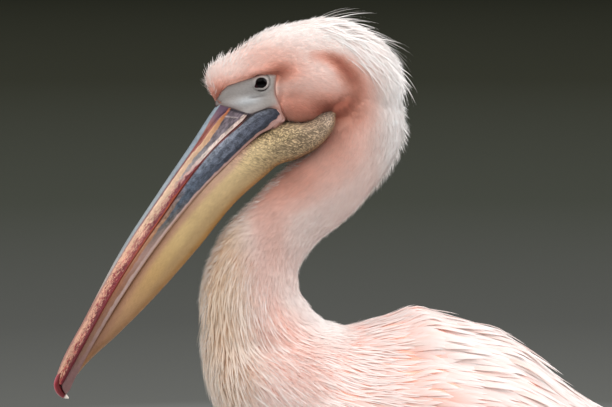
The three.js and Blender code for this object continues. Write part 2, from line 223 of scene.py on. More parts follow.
# %% A smooth curve through a table
def profile(*pairs):
    """A function that reads a smooth curve through [place, value] pairs, level beyond both ends."""
    at, value = np.array(pairs, float).T
    slope = np.gradient(value, at)

    def read(place):
        place = np.clip(place, at[0], at[-1])
        i = np.clip(np.searchsorted(at, place, side="right") - 1, 0, len(at) - 2)
        span = at[i + 1] - at[i]
        t = (place - at[i]) / span
        start = (1 + 2 * t) * (1 - t) ** 2 * value[i] + t * (1 - t) ** 2 * span * slope[i]
        end = t * t * (3 - 2 * t) * value[i + 1] + t * t * (t - 1) * span * slope[i + 1]
        return start + end

    return read


def ease(low, high, value):
    """0 below low, 1 above high and smooth between."""
    t = np.clip((value - low) / (high - low), 0, 1)
    return t * t * (3 - 2 * t)


def blend(a, b, share):
    return a + (b - a) * share


def hill(value, centre, width):
    """1 at the centre and less to either side of it."""
    return np.exp(-(((value - centre) / width) ** 2))


def mound(x, z, centre, size):
    """1 at a place on the side view and less all round it."""
    return hill(x, centre[0], size[0]) * hill(z, centre[1], size[1])


def unit(vectors):
    return vectors / np.maximum(np.linalg.norm(vectors, axis=-1, keepdims=True), 1e-9)


def placed(*coordinates):
    """Places from their coordinates, any of which may be a single number."""
    return np.stack(np.broadcast_arrays(*coordinates), -1)


def rough(a, b, seed=3):
    """Smooth noise from -1 to 1 over a plane, with about one bump to each unit."""
    size = 64
    table = np.random.default_rng(seed).uniform(-1, 1, (size, size))
    low_a, low_b = np.floor(a).astype(int), np.floor(b).astype(int)
    share_a, share_b = ease(0, 1, a - low_a), ease(0, 1, b - low_b)
    near, far = (
        blend(table[low_a % size, row % size], table[(low_a + 1) % size, row % size], share_a)
        for row in (low_b, low_b + 1)
    )
    return blend(near, far, share_b)


# %% Bent grids
def put_marks(mesh, marks):
    """Stores arrays on the points of a mesh: numbers, places or, with four columns, colours."""
    for name, values in marks.items():
        values = np.asarray(values, np.float32)
        columns = 1 if values.ndim == 1 else values.shape[1]
        kind, field = {1: ("FLOAT", "value"), 3: ("FLOAT_VECTOR", "vector"),
                       4: ("FLOAT_COLOR", "color")}[columns]
        mesh.attributes.new(name, kind, "POINT").data.foreach_set(field, values.ravel())


def threes(items, field, kind=np.float32):
    """One field of a mesh's items, three numbers to each."""
    flat = np.empty(len(items) * 3, kind)
    items.foreach_get(field, flat)
    return flat.reshape(-1, 3)


def move_points(mesh, places):
    mesh.vertices.foreach_set("co", np.asarray(places, np.float32).ravel())
    mesh.update()


def bent_grid(name, across, along, place, solid=True):
    """A mesh from a flat grid. place(u, v) takes how far each point is across and along, from 0
    to 1, and gives its place in millimetres and its marks. A solid one has its seam closed, and
    points marked as spare are left out."""
    shape = bmesh.new()
    bmesh.ops.create_grid(shape, x_segments=across, y_segments=along, size=0.5)
    mesh = to_mesh(name, shape)
    flat = threes(mesh.vertices, "co").astype(float)
    places, marks = place(flat[:, 0] + 0.5, flat[:, 1] + 0.5)
    spare = marks.pop("spare", None)
    move_points(mesh, metres(places))
    put_marks(mesh, marks)
    shape = bmesh.new()
    shape.from_mesh(mesh)
    if spare is not None:
        left_out = [vertex for vertex, out in zip(shape.verts, spare) if out]
        bmesh.ops.delete(shape, geom=left_out, context="VERTS")
    if solid:
        bmesh.ops.remove_doubles(shape, verts=shape.verts, dist=1e-6)
        bmesh.ops.recalc_face_normals(shape, faces=shape.faces)
    shape.to_mesh(mesh)
    shape.free()
    mesh.polygons.foreach_set("use_smooth", np.ones(len(mesh.polygons), bool))
    return mesh


def piece(mesh, slot, *materials, replaces=()):
    """An object of a mesh, riding on the bird and finished with these materials."""
    made = bpy.data.objects.new(mesh.name, mesh)
    scene.collection.objects.link(made)
    for material in materials:
        mesh.materials.append(material)
    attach(made, "root")
    if replaces:
        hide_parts(*replaces)
    print(f"{mesh.name}: {sum(len(p.vertices) - 2 for p in mesh.polygons)} triangles")


def joined(name, meshes):
    """One mesh of several, which are then gone."""
    shape = bmesh.new()
    for mesh in meshes:
        shape.from_mesh(mesh)
        bpy.data.meshes.remove(mesh)
    return to_mesh(name, shape)


# %% [markdown]
# ## The skin
#
# A bird's body under its feathers is one smooth form. Head, neck, trunk, folded wings and thighs
# are each swept as a closed form, then melted together by a voxel remesh, which leaves no seam
# where they meet. The feathers take up the depth between this skin and the solids' outline.

# %% Outlines of the flesh
crown = profile(
    [-242, 748], [-239, 757], [-224, 769], [-203, 782], [-174, 802], [-130, 815], [-90, 820],
    [-50, 807], [-20, 782], [-6, 757], [-2, 740],
)
chin = profile(
    [-242, 744], [-238, 733], [-228, 716], [-203, 704], [-150, 697], [-90, 690], [-40, 692],
    [-8, 710], [-2, 730],
)
head_half = profile(
    [-240, 4], [-232, 10], [-218, 16], [-200, 21], [-174, 26.5], [-140, 33], [-100, 38],
    [-60, 40], [-20, 34], [-6, 20], [-2, 8],
)
CHEEK = {"x": -109.0, "y": 24.0, "z": 740.0, "size": (46.0, 17.0, 35.0)}

NECK = np.array([
    [-62, 744], [-42, 696], [-80, 634], [-140, 579], [-176, 532], [-185, 488], [-172, 440],
    [-118, 378],
], float)
neck_depth = profile(
    [0, 40], [0.15, 44], [0.35, 48], [0.5, 47], [0.62, 55], [0.7, 61], [0.78, 66], [0.87, 70],
    [1, 66],
)
neck_half = profile(
    [0, 36], [0.15, 38], [0.35, 38], [0.5, 39], [0.62, 46], [0.75, 58], [0.87, 80], [1, 108],
)

back = profile(
    [-242, 412], [-229, 437], [-200, 452], [-170, 456], [-110, 460], [-92, 456], [-78, 450],
    [-60, 449], [-38, 453], [-10, 457], [20, 465], [53, 453], [104, 436], [130, 427], [155, 408],
    [206, 366], [245, 340], [330, 286], [390, 250], [470, 218],
)
belly = profile(
    [-242, 396], [-233, 364], [-219, 332], [-172, 275], [-110, 235], [-40, 207], [40, 190],
    [120, 188], [200, 194], [280, 206], [340, 216], [390, 222], [470, 196],
)
trunk_half = profile(
    [-242, 12], [-234, 46], [-216, 76], [-170, 108], [-110, 130], [-40, 144], [40, 148],
    [120, 142], [200, 124], [280, 95], [340, 64], [375, 44], [390, 36], [470, 30],
)


# %% Sweeping the flesh
def along_line(line):
    """A function for places on a line through points, and one for its directions, by share."""
    steps = np.linalg.norm(np.diff(line, axis=0), axis=1)
    shares = np.concatenate([[0], np.cumsum(steps)]) / steps.sum()
    axes = [profile(*zip(shares, line[:, i])) for i in range(line.shape[1])]

    def place(share):
        return placed(*(axis(share) for axis in axes))

    def heading(share):
        return unit(place(share + 0.004) - place(share - 0.004))

    return place, heading


def capped(v, cap=0.04):
    """Splits the way along a closed sweep into the share of its length and its reach from the
    middle, which falls to nothing over each rounded end."""
    reach = np.sin(np.clip(np.minimum(v, 1 - v) / cap, 0, 1) * math.pi / 2)
    return np.clip((v - cap) / (1 - 2 * cap), 0, 1), reach


def upright_slices(top, low, half, start, end):
    def place(u, v):
        share, reach = capped(v)
        x = blend(start, end, (1 - np.cos(math.pi * share)) / 2)
        turn = u * 2 * math.pi
        z = (top(x) + low(x)) / 2 + (top(x) - low(x)) / 2 * reach * np.cos(turn)
        return placed(x, half(x) * reach * np.sin(turn), z), {}

    return place


neck_place, neck_heading = along_line(NECK)


def neck_slices(u, v):
    share, reach = capped(v)
    turn = u * 2 * math.pi
    middle, forward = neck_place(share), neck_heading(share)
    depth = (neck_depth(share) * reach * np.cos(turn))[:, None]
    ring = middle + placed(forward[:, 1], -forward[:, 0]) * depth
    return placed(ring[:, 0], neck_half(share) * reach * np.sin(turn), ring[:, 1]), {}


def ball(centre, size):
    def place(u, v):
        turn, tilt = u * 2 * math.pi, v * math.pi
        form = placed(np.sin(tilt) * np.cos(turn), np.cos(tilt), np.sin(tilt) * np.sin(turn))
        return form * size + centre, {}

    return place


def beside_trunk(side, x, angle, off):
    """A place this far off the side of the trunk, by its angle above level in degrees."""
    turn = np.radians(angle)
    y = (trunk_half(x) + off) * np.cos(turn)
    z = (back(x) + belly(x)) / 2 + ((back(x) - belly(x)) / 2 + off) * np.sin(turn)
    return placed(x, side * y, z)


def side_layer(side, start, end, low, high, thick):
    """A layer on the side of the trunk, between two angles above level."""
    def place(u, v):
        share, reach = capped(v)
        x = blend(start, end, share)
        turn = u * 2 * math.pi
        middle, spread = (high(x) + low(x)) / 2, (high(x) - low(x)) / 2
        angle = middle + spread * reach * np.sin(turn)
        return beside_trunk(side, x, angle, thick(x) * reach * np.cos(turn)), {}

    return place


WING_LOW = profile([-120, -12], [-60, -28], [60, -34], [200, -36], [300, -24], [400, 10], [460, 32])
WING_HIGH = profile([-120, 12], [-60, 30], [60, 44], [200, 50], [300, 60], [400, 72], [460, 66])
WING_THICK = profile([-120, 7], [-60, 12], [60, 14], [250, 12], [380, 9], [460, 5])
BACK_LOW = profile([-70, 60], [0, 47], [60, 46], [200, 52], [300, 62])
BACK_HIGH = profile([-70, 76], [0, 86], [60, 88], [200, 87], [300, 82])
BACK_THICK = profile([-70, 1], [-10, 8], [60, 12], [200, 9], [300, 5])


def limb(start, end, thick_start, thick_end):
    start, end = np.array(start, float), np.array(end, float)
    axis = unit(end - start)
    fore = unit(np.cross([0, 1, 0], axis))
    aside = np.cross(axis, fore)

    def place(u, v):
        share, reach = capped(v, 0.12)
        turn = u * 2 * math.pi
        radius = (blend(thick_start, thick_end, share) * reach)[:, None]
        ring = fore * np.cos(turn)[:, None] + aside * np.sin(turn)[:, None] * 0.8
        return start + (end - start) * share[:, None] + ring * radius, {}

    return place


SIDES = ((-1, "left"), (1, "right"))
HIP, ANKLE = (70, 60, 232), (92, 68, 150)
forms = [
    bent_grid("head", 48, 60, upright_slices(crown, chin, head_half, -242, -2)),
    bent_grid("neck", 48, 80, neck_slices),
    bent_grid("trunk", 64, 90, upright_slices(back, belly, trunk_half, -242, 390)),
    bent_grid("crop", 48, 32, ball((-178, 0, 430), (68, 66, 74))),
]
for side, _ in SIDES:
    hip, ankle = (HIP[0], side * HIP[1], HIP[2]), (ANKLE[0], side * ANKLE[1], ANKLE[2])
    cheek = (CHEEK["x"], side * CHEEK["y"], CHEEK["z"])
    forms += [
        bent_grid("cheek", 32, 20, ball(cheek, CHEEK["size"])),
        bent_grid("jaw", 32, 20, ball((-128, side * 19, 713), (31, 21, 20))),
        bent_grid("wing", 40, 60, side_layer(side, -120, 400, WING_LOW, WING_HIGH, WING_THICK)),
        bent_grid("mantle", 32, 40, side_layer(side, -70, 300, BACK_LOW, BACK_HIGH, BACK_THICK)),
        bent_grid("thigh", 24, 24, limb(hip, ankle, 40, 24)),
    ]
print(len(forms), "forms for one skin")

# %% Melting the forms together
def melted(mesh, voxel, factor, iterations):
    """The mesh remeshed at this voxel size in metres, then smoothed."""
    carrier = bpy.data.objects.new("carrier", mesh)
    scene.collection.objects.link(carrier)
    for kind, settings in (
        ("REMESH", {"mode": "VOXEL", "voxel_size": voxel, "use_smooth_shade": True}),
        ("SMOOTH", {"factor": factor, "iterations": iterations}),
    ):
        modifier = carrier.modifiers.new(kind, kind)
        for name, value in settings.items():
            setattr(modifier, name, value)
    depsgraph = bpy.context.evaluated_depsgraph_get()
    made, name = bpy.data.meshes.new_from_object(carrier.evaluated_get(depsgraph)), mesh.name
    bpy.data.objects.remove(carrier)
    bpy.data.meshes.remove(mesh)
    made.name = name
    return made


skin_mesh = melted(joined("skin", forms), 0.0031, 0.6, 10)
print(len(skin_mesh.vertices), "points on the skin")


# %% [markdown]
# ## The lie of the coat
#
# Feathers grow backwards from the bill: over the head, down the neck and along the trunk. A line
# through the middle of the bird gives that direction anywhere, and a few named places turn it,
# as where the forehead bristles or the crest sweeps down. The same line, with the angle round it,
# unrolls the skin flat, which gives each feather its own small patch for a painted map.

# %% The line through the bird
SPINE = np.array([
    [-236, 738], [-200, 745], [-160, 752], [-120, 757], [-85, 750], [-58, 728], [-46, 696],
    [-80, 634], [-140, 579], [-176, 532], [-186, 488], [-172, 440], [-130, 395], [-60, 350],
    [60, 325], [200, 270], [330, 250], [390, 236], [520, 200],
], float)
spine_place, spine_heading = along_line(SPINE)
SPINE_LENGTH = 1400  # about, in millimetres
SPINE_REACH = 26  # how near a part of the line has to be to turn the lie
TURN_PULL = 2.2  # of the named places, against the line's own pull
SHARES = np.linspace(0.004, 0.996, 120)
SPINE_POINTS, SPINE_HEADINGS = spine_place(SHARES), spine_heading(SHARES)

# Each turns the lie near a place: x, z, the reach of its pull, then the direction there.
TURNS = [
    (-232, 748, 16, (-0.35, 1.0)),  # forehead, where the feathers stand up
    (-212, 772, 20, (0.35, 1.0)),
    (-180, 795, 20, (0.9, 0.55)),
    (-60, 800, 30, (1.0, -0.35)),
    (-30, 775, 30, (0.75, -0.75)),
    (-132, 745, 22, (1.0, -0.15)),  # behind the eye
    (-100, 745, 22, (1.0, -0.35)),
    (-85, 712, 20, (0.8, -0.8)),
    (-125, 704, 18, (0.7, -0.75)),  # jaw
    (-60, 768, 18, (0.6, -0.8)),
    (-50, 748, 16, (0.3, -1.0)),
]


def lie_of(points, normals):
    """The direction in which feathers lie on the skin, and how far along the bird each is."""
    lies, shares = np.empty_like(points), np.empty(len(points))
    at_once = 20000
    for start in range(0, len(points), at_once):
        some = slice(start, start + at_once)
        flat = points[some][:, [0, 2]]
        apart = ((flat[:, None] - SPINE_POINTS) ** 2).sum(-1)
        nearest = apart.min(1, keepdims=True)
        pull = np.exp((nearest - apart) / (2 * SPINE_REACH**2))
        heading = unit((pull[..., None] * SPINE_HEADINGS).sum(1))
        for x, z, reach, direction in TURNS:
            near = np.exp(-((flat[:, 0] - x) ** 2 + (flat[:, 1] - z) ** 2) / (2 * reach**2))
            heading += near[:, None] * TURN_PULL * unit(np.array(direction))
        lies[some, 0], lies[some, 1], lies[some, 2] = heading[:, 0], 0, heading[:, 1]
        shares[some] = SHARES[apart.argmin(1)]
    lies -= normals * (lies * normals).sum(-1, keepdims=True)
    return unit(lies), shares


def unrolled(points, shares):
    """Where points lie on the skin when it is unrolled from the line through the bird."""
    middle, heading = spine_place(shares), spine_heading(shares)
    out = points[:, [0, 2]] - middle
    rise = out[:, 0] * -heading[:, 1] + out[:, 1] * heading[:, 0]
    turn = np.arctan2(points[:, 1], rise) / (2 * math.pi) + 0.5
    drift = (out * heading).sum(-1) / SPINE_LENGTH
    return placed(np.clip(0.02 + 0.96 * (shares + drift), 0, 1), 0.02 + 0.96 * turn)


# %% [markdown]
# ## Plumage colours
#
# The bird is white with a rosy flush, which comes partly from preen oil and pools where the
# feathers are short and dense: on the brow, the cheeks and the side of the neck. Part of the flush
# is painted shade, in the crease behind the cheek and along the brow's edge, and the cheek is
# painted paler where its highlight falls. The breast has a patch of longer straw-coloured
# feathers. One function gives the colour anywhere, and both the skin and the feathers take it, so
# that no bare spot shows.

# %% Flush and straw
WHITE, PINK, SALMON, DEEP, EMBER = (
    shade_of(code) for code in ("#fdf9f7", "#f8e0d7", "#efc0af", "#d89c88", "#c07a66")
)
STRAW, UNDER, TAN = (shade_of(code) for code in ("#f5dcb6", "#f5a98c", "#dcae8e"))

# Each adds flush near a place: x, z, its reach along X and Z, and how much.
FLUSHES = [
    (-224, 728, 8, 10, 0.6),  # forehead beside the bill
    (-152, 757, 12, 7, 0.85),  # behind the eye
    (-146, 722, 16, 14, 0.5),
    (-118, 706, 28, 11, 0.85),  # jaw
    (-106, 722, 16, 8, 0.3),
    (-84, 708, 16, 12, 0.42),
    (-60, 738, 14, 20, 0.25),
    (-66, 716, 14, 18, 0.3),
    (-160, 780, 34, 16, 0.2),
    (-104, 742, 24, 20, 0.24),
    (-90, 672, 20, 24, 0.42),  # throat side
    (-132, 638, 24, 18, 0.42),
    (-166, 600, 16, 26, 0.25),
    (-60, 690, 30, 40, 0.14),
    (-95, 610, 50, 50, 0.12),
    (-138, 618, 20, 16, 0.25),
    (-166, 536, 28, 42, 0.3),
    (-158, 446, 26, 22, 0.22),
]
# The crescent behind the ear and how strong its flush is along it, which is partly rosy flush
# and partly painted shade in the crease behind the cheek, and the height at which the velvet of
# the neck gives way to long feathers.
EAR = np.array([
    [-113, 775], [-103, 774], [-94, 771.5], [-84, 766], [-78, 759.5], [-71, 751], [-66, 743],
    [-64, 734], [-66, 726], [-74, 719], [-86, 713], [-101, 710],
], float)
EAR_FLUSH_AND_SHADE = profile(
    [0, 0.25], [0.12, 0.7], [0.22, 1.2], [0.45, 1.1], [0.6, 0.5], [0.8, 0.42], [1, 0.4],
)
STREAK_LINE = profile(
    [-246, 590], [-214, 556], [-186, 536], [-157, 487], [-133, 452], [-109, 434], [-79, 438],
    [-66, 450], [-50, 470], [-30, 490], [-8, 510], [16, 530],
)


def line_distance(points, line):
    """How far places lie from a line drawn on the side view, and how far along it, by share."""
    flat = points[:, [0, 2]]
    nearest, share = np.full(len(points), 1e9), np.zeros(len(points))
    for i, (a, b) in enumerate(zip(line[:-1], line[1:])):
        along = np.clip(((flat - a) @ (b - a)) / ((b - a) @ (b - a)), 0, 1)
        off = np.linalg.norm(flat - (a + along[:, None] * (b - a)), axis=1)
        share = np.where(off < nearest, (i + along) / (len(line) - 1), share)
        nearest = np.minimum(nearest, off)
    return nearest, share


def long_coat(points):
    """Where the velvet of the neck gives way to long feathers: 0 above the line, 1 below it."""
    return ease(-26, 26, STREAK_LINE(points[:, 0]) - points[:, 2])


def plumage(points):
    """The plumage's colour at places in millimetres."""
    x, z = points[:, 0], points[:, 2]
    flush = 0.05 + 0.1 * ease(540, 640, z)
    for fx, fz, rx, rz, much in FLUSHES:
        flush = flush + much * mound(x, z, (fx, fz), (rx, rz)) ** 0.5
    if (z > 700).any():
        edge = np.maximum(edge_distance(points, FACE), 0)
        # Flush on the brow, and a narrow band along the face's edge that is painted shade under the
        # overhanging brow feathers.
        brow = 0.5 * np.exp(-edge / 13) + 0.45 * hill(edge, 0, 3.5)
        above_eye = ease(736, 750, z + 0.5 * np.maximum(-170 - x, 0))
        flush = flush + brow * above_eye * blend(0.8, 1, ease(-205, -185, x))
        # Along the crescent behind the ear: rosy flush and painted shade in the crease there.
        off, share = line_distance(points, EAR)
        width = blend(6.5, 10.5, ease(0.1, 0.5, share))
        flush = flush + EAR_FLUSH_AND_SHADE(share) * hill(off, 0, width)
    # A painted highlight: the flush is thinned on the cheek's bulge, where light falls on it.
    highlight = mound(x, z, (-100, 749), (22, 17)) ** 0.5
    nape = ease(-44, -14, x) * ease(560, 640, z)
    flush = flush * (1 - 0.85 * nape) * (1 - 0.6 * ease(775, 806, z)) * (1 - 0.15 * highlight)
    flush = np.clip(flush, 0, 1.5)[:, None]
    colour = WHITE
    for start, shade in ((0, PINK), (0.3, SALMON), (0.7, DEEP), (1.1, EMBER)):
        colour = blend(colour, shade, np.clip((flush - start) / 0.4, 0, 1))
    straw = ease(-176, -226, x) * ease(640, 560, z) * ease(300, 400, z)
    return blend(colour, STRAW, (0.68 * straw)[:, None])


def underlayer(points):
    """The rosier down that shows between long feathers, tan under the straw-coloured ones."""
    x, z = points[:, 0], points[:, 2]
    much = long_coat(points) * ease(250, 330, z) * blend(0.4, 0.75, ease(520, 420, z))
    much = much * np.where(x < -60, blend(0.6, 1, ease(340, 400, z)), 1)
    down = blend(UNDER, TAN, (ease(-150, -215, x) * ease(300, 400, z))[:, None])
    return blend(plumage(points), down, much[:, None])


# %% Face outline
# The bare face, from the culmen over the eye, down behind it and back along the gape.
FACE = np.array([
    [-229, 717], [-223, 731], [-215, 739], [-201, 744], [-186, 749], [-178, 751.5], [-171, 752.5],
    [-164, 753], [-158, 752], [-159, 740], [-159, 728], [-157, 722], [-155, 716], [-153, 708],
    [-150, 701], [-160, 690], [-200, 690], [-232, 706],
], float)


def inside(points, outline):
    """Whether places lie inside an outline drawn on the side view, by counting its crossings."""
    x, z = points[:, 0], points[:, 2]
    crossings = np.zeros(len(points), bool)
    for (ax, az), (bx, bz) in zip(outline, np.roll(outline, -1, axis=0)):
        spans = (az > z) != (bz > z)
        crossings ^= spans & (x < (bx - ax) * (z - az) / (bz - az + 1e-9) + ax)
    return crossings


def edge_distance(points, outline):
    """How far places lie from an outline on the side view: negative inside it."""
    nearest, _ = line_distance(points, np.concatenate([outline, outline[:1]]))
    return np.where(inside(points, outline), -nearest, nearest)


# %% Coat depth and the forms under it
coat_depth = profile(
    [0, 2], [0.1, 2], [0.2, 2.5], [0.3, 3.5], [0.42, 4.5], [0.5, 6], [0.6, 7], [0.9, 7], [1, 5],
)


def head_relief(points):
    """How far the face's soft forms stand out, in millimetres."""
    x, y, z = points.T
    x = x + 4  # the velvet carries its shading this far back
    side = ease(8, 22, np.abs(y))
    dx, dz = (x + 104) / 38, (z - 742) / 33.5
    around, bearing = np.hypot(dx, dz), np.arctan2(dz, dx)
    behind, below = hill(bearing, 0.85, 0.72), hill(bearing, -0.95, 0.55)
    crease = hill(around, 1.0, 0.2) * (behind + 0.8 * below)
    bulge = np.exp(-((around / 0.75) ** 3))
    above_face = ease(-196, -186, x) * ease(-146, -160, x) * ease(742, 752, z)
    brow = hill(edge_distance(points, FACE), 5, 4) * above_face
    return side * (1.8 * bulge - 2.9 * crease + 1.4 * brow)


skin_points = millimetres(threes(skin_mesh.vertices, "co"))
skin_normals = threes(skin_mesh.vertex_normals, "vector").astype(float)
_, skin_shares = lie_of(skin_points, skin_normals)
sink = coat_depth(skin_shares)
rim = np.where(skin_points[:, 0] > -166, 9, 4)
edge = edge_distance(skin_points, FACE)
in_face = 1.6 * ease(0.5, -2.5, edge) + 1.2 * ease(rim, -1, edge)
sink = sink + in_face * ease(5, 12, np.abs(skin_points[:, 1]))
relief = head_relief(skin_points) * ease(640, 690, skin_points[:, 2])
skin_points = skin_points + skin_normals * (relief - sink)[:, None]
move_points(skin_mesh, metres(skin_points))
put_marks(skin_mesh, {"plumage": np.c_[underlayer(skin_points), np.ones(len(skin_points))]})
skin_normals = threes(skin_mesh.vertex_normals, "vector").astype(float)

# %% [markdown]
# ## Finishes of the coat
#
# A feather is keratin, matt and slightly see-through, and a coat of them has a soft sheen at
# grazing angles. The colour comes from each feather's own mark, so that the shaft, the tip and
# the shaded root differ. The skin between them is matt with down, in tufts about 2 mm across.

# %% Feather and skin materials
def feather_finish(name, gloss, through):
    """Feather keratin: matt, with some of the light passing through the vane."""
    material, tree, output = new_material(name)
    own_colour = add(tree, "Attribute", attribute_name="plumage")
    vane = finish_surface(
        tree, output, Base_Color=own_colour, Roughness=gloss, Sheen_Weight=0.2,
        Sheen_Roughness=0.5, Specular_IOR_Level=0.2,
    )
    glow = add(tree, "BsdfTranslucent", {"Color": own_colour})
    both = add(tree, "MixShader", {0: through, 1: vane, 2: glow})
    tree.links.new(both.outputs[0], output.inputs["Surface"])
    return material


feather_keratin = feather_finish("feather_keratin", 0.75, 0.4)
dark_keratin = feather_finish("dark_keratin", 0.5, 0.05)

downy_skin, tree, output = new_material("downy_skin")
own_colour = add(tree, "Attribute", attribute_name="plumage")
place = add(tree, "TexCoord")
down = add(tree, "TexNoise", {"Vector": place.outputs["Object"], "Scale": 600.0, "Detail": 2.0})
shade = add(tree, "Mix", {0: down, 6: own_colour, 7: linear("#f0d4ca")},
            data_type="RGBA", blend_type="MULTIPLY")
finish_surface(tree, output, Base_Color=shade.outputs[2], Roughness=0.9)

FLESH = (
    "head neck_upper neck_middle neck_lower breast back belly rump thigh_left thigh_right "
    "wing_left_coverts wing_right_coverts wing_left_secondaries wing_right_secondaries "
    "scapulars_left scapulars_right"
).split()
piece(skin_mesh, "plumage", downy_skin, replaces=FLESH)

# %% [markdown]
# ## Growing feathers
#
# Feathers are real mesh here, joined by the thousand: each is a strip of a few rungs along its
# shaft, wide in the middle and pointed at the tip, with its shaft raised a little. Arrays make
# them all at once, which is the only quick way at this number.

# %% Roots on the skin
random = np.random.default_rng(11)
skin_mesh.calc_loop_triangles()
TRIANGLES = threes(skin_mesh.loop_triangles, "vertices", np.int32)
corner_places = skin_points[TRIANGLES]
AREAS = np.linalg.norm(np.cross(
    corner_places[:, 1] - corner_places[:, 0], corner_places[:, 2] - corner_places[:, 0],
), axis=1) / 2
print("skin area", round(AREAS.sum() / 1e6, 3), "square metres")


def roots(density, where):
    """Random places on the skin with their normals. density is per square millimetre, and
    where(points, normals) gives the chance that each is kept."""
    wanted = int(AREAS.sum() * density)
    picked = random.choice(len(AREAS), wanted, p=AREAS / AREAS.sum())
    weights = random.random((wanted, 2))
    weights = np.where(weights.sum(1, keepdims=True) > 1, 1 - weights, weights)
    weights = np.c_[1 - weights.sum(1), weights][:, :, None]
    points = (skin_points[TRIANGLES[picked]] * weights).sum(1)
    normals = unit((skin_normals[TRIANGLES[picked]] * weights).sum(1))
    lies, shares = lie_of(points, normals)
    kept = random.random(wanted) < where(points, normals)
    return points[kept], normals[kept], lies[kept], shares[kept]


# %% Shafts
def straight(found, length, lift, rungs, curl=0.0, sway=0.1, sink=1.0):
    """Shafts that leave the skin at an angle and bend back to it, and their upward directions."""
    points, normals, lies, _ = found
    t = np.linspace(0, 1, rungs + 1)
    lies = unit(lies + random.normal(0, 1, lies.shape) * sway)
    lies = unit(lies - normals * (lies * normals).sum(-1, keepdims=True))
    bend = np.sin(np.radians(lift + 0 * length))[:, None] * t - curl * t**2
    rise = length[:, None] * bend - sink
    reach = length[:, None] * t
    shaft = points[:, None] + lies[:, None] * reach[..., None] + normals[:, None] * rise[..., None]
    return shaft, np.repeat(normals[:, None], rungs + 1, axis=1)


SKIN_TREE = BVHTree.FromPolygons(skin_points.tolist(), TRIANGLES.tolist())


def on_skin(places):
    """The nearest places on the skin and the skin's normals there."""
    found = [SKIN_TREE.find_nearest(place)[:2] for place in places.tolist()]
    return np.array([at for at, _ in found], float), np.array([up for _, up in found], float)


def draped(found, length, lift, rungs, sway=0.1, settle=0.5, sink=1.0):
    """Shafts that follow the skin from step to step, as long feathers lie, and rise over it."""
    at, up, _, _ = found
    own_turn = random.normal(0, sway, len(at))[:, None]
    slope = np.sin(np.radians(lift + 0 * length))
    shaft, ups = [], []
    for step in range(rungs + 1):
        t = step / rungs
        if step:
            lies, _ = lie_of(at, up)
            heading = unit(lies + np.cross(up, lies) * own_turn)
            at, new_up = on_skin(at + heading * (length / rungs)[:, None])
            up = unit(up + 2 * new_up)
        rise = length * slope * t * (1 - settle * t) - sink
        shaft.append(at + up * rise[:, None])
        ups.append(up)
    return np.stack(shaft, 1), np.stack(ups, 1)


def resampled(rows, count):
    """Each shaft with another number of steps."""
    old, new = np.linspace(0, 1, rows.shape[1]), np.linspace(0, 1, count + 1)
    at = np.clip(np.searchsorted(old, new, side="right") - 1, 0, len(old) - 2)
    share = ((new - old[at]) / (old[at + 1] - old[at]))[:, None]
    return blend(rows[:, at], rows[:, at + 1], share)


# %% Vanes by the thousand
def lance(t):
    """The half width of a narrow pointed feather along its length, as a share of its widest."""
    return np.clip((0.35 + 2.6 * t), 0, 1) * (1 - t**1.6)


def pointed(t):
    """The half width of a feather that tapers over its last third."""
    return np.clip((0.3 + 2.4 * t), 0, 1) * (1 - t**3.2)


def blade(t):
    """The half width of a broad feather with a rounded tip."""
    return np.clip((0.35 + 2.2 * t), 0, 1) * np.sqrt(np.clip(1 - t**5, 0, 1))


PATCH = 0.003  # of a feather on the unrolled skin
MOST_TRIANGLES = 195000  # in one mesh


def plant(name, shafts, shares, width, colours, columns=3, outline=lance, cup=0.15, flow=0.7,
          slot="plumage", material=feather_keratin, turn=0.8, replaces=()):
    """Joined meshes of feathers on these shafts. colours gives each one's root, tip and edge.
    Every mesh holds at most MOST_TRIANGLES triangles."""
    shaft, ups = shafts
    count, rows = shaft.shape[:2]
    rungs = rows - 1
    t = np.linspace(0, 1, rows)
    heading = unit(np.gradient(shaft, axis=1))
    aside = unit(np.cross(ups, heading))
    up = unit(np.cross(heading, aside))
    half = (np.broadcast_to(width, count).astype(float)[:, None] / 2 * outline(t))[..., None]
    across = np.linspace(-1, 1, columns)
    body = shaft[:, :-1, None] + (aside * half)[:, :-1, None] * across[:, None]
    body = body + (up * half)[:, :-1, None] * (cup * (1 - across**2))[:, None]
    vertices = np.concatenate([body.reshape(count, -1, 3), shaft[:, -1:]], 1)
    per = vertices.shape[1]

    root, tip, edge = colours
    share = np.concatenate([np.repeat(t[:-1], columns), [1]])
    rim = np.concatenate([np.tile(np.abs(across), rungs), [0]]) if columns > 2 else 0 * share
    own = blend(root[:, None], tip[:, None], (share**turn)[None, :, None])
    own = blend(own, edge[:, None], (rim**1.5 * (1 - share**2))[None, :, None])
    patch = placed(np.concatenate([np.tile(across / 2, rungs), [0]]), share - 0.5) * PATCH
    flat = unrolled(shaft[:, 0], shares)[:, None] + patch
    of_skin = np.concatenate([np.repeat(ups[:, :-1], columns, axis=1), ups[:, -1:]], 1)

    quads = [
        [r * columns + c + corner for corner in (0, columns, columns + 1, 1)]
        for r in range(rungs - 1) for c in range(columns - 1)
    ]
    last = (rungs - 1) * columns
    ends = [[last + c, rungs * columns, last + c + 1] for c in range(columns - 1)]
    sizes = np.array([4] * len(quads) + [3] * len(ends))
    corners = np.array([i for face in quads + ends for i in face])
    triangles = len(quads) * 2 + len(ends)
    pieces = max(1, math.ceil(count * triangles / MOST_TRIANGLES))
    order = np.argsort(shares, kind="stable")
    for number, chosen in enumerate(np.array_split(order, pieces)):
        mesh = bpy.data.meshes.new(name if pieces == 1 else f"{name}_{number + 1}")
        fill_mesh(mesh, vertices[chosen], own[chosen], flat[chosen], corners, sizes, per)
        soft = soft_normals(mesh, of_skin[chosen].reshape(-1, 3), flow)
        mesh.normals_split_custom_set_from_vertices(soft)
        piece(mesh, slot, material, replaces=replaces if number == 0 else ())


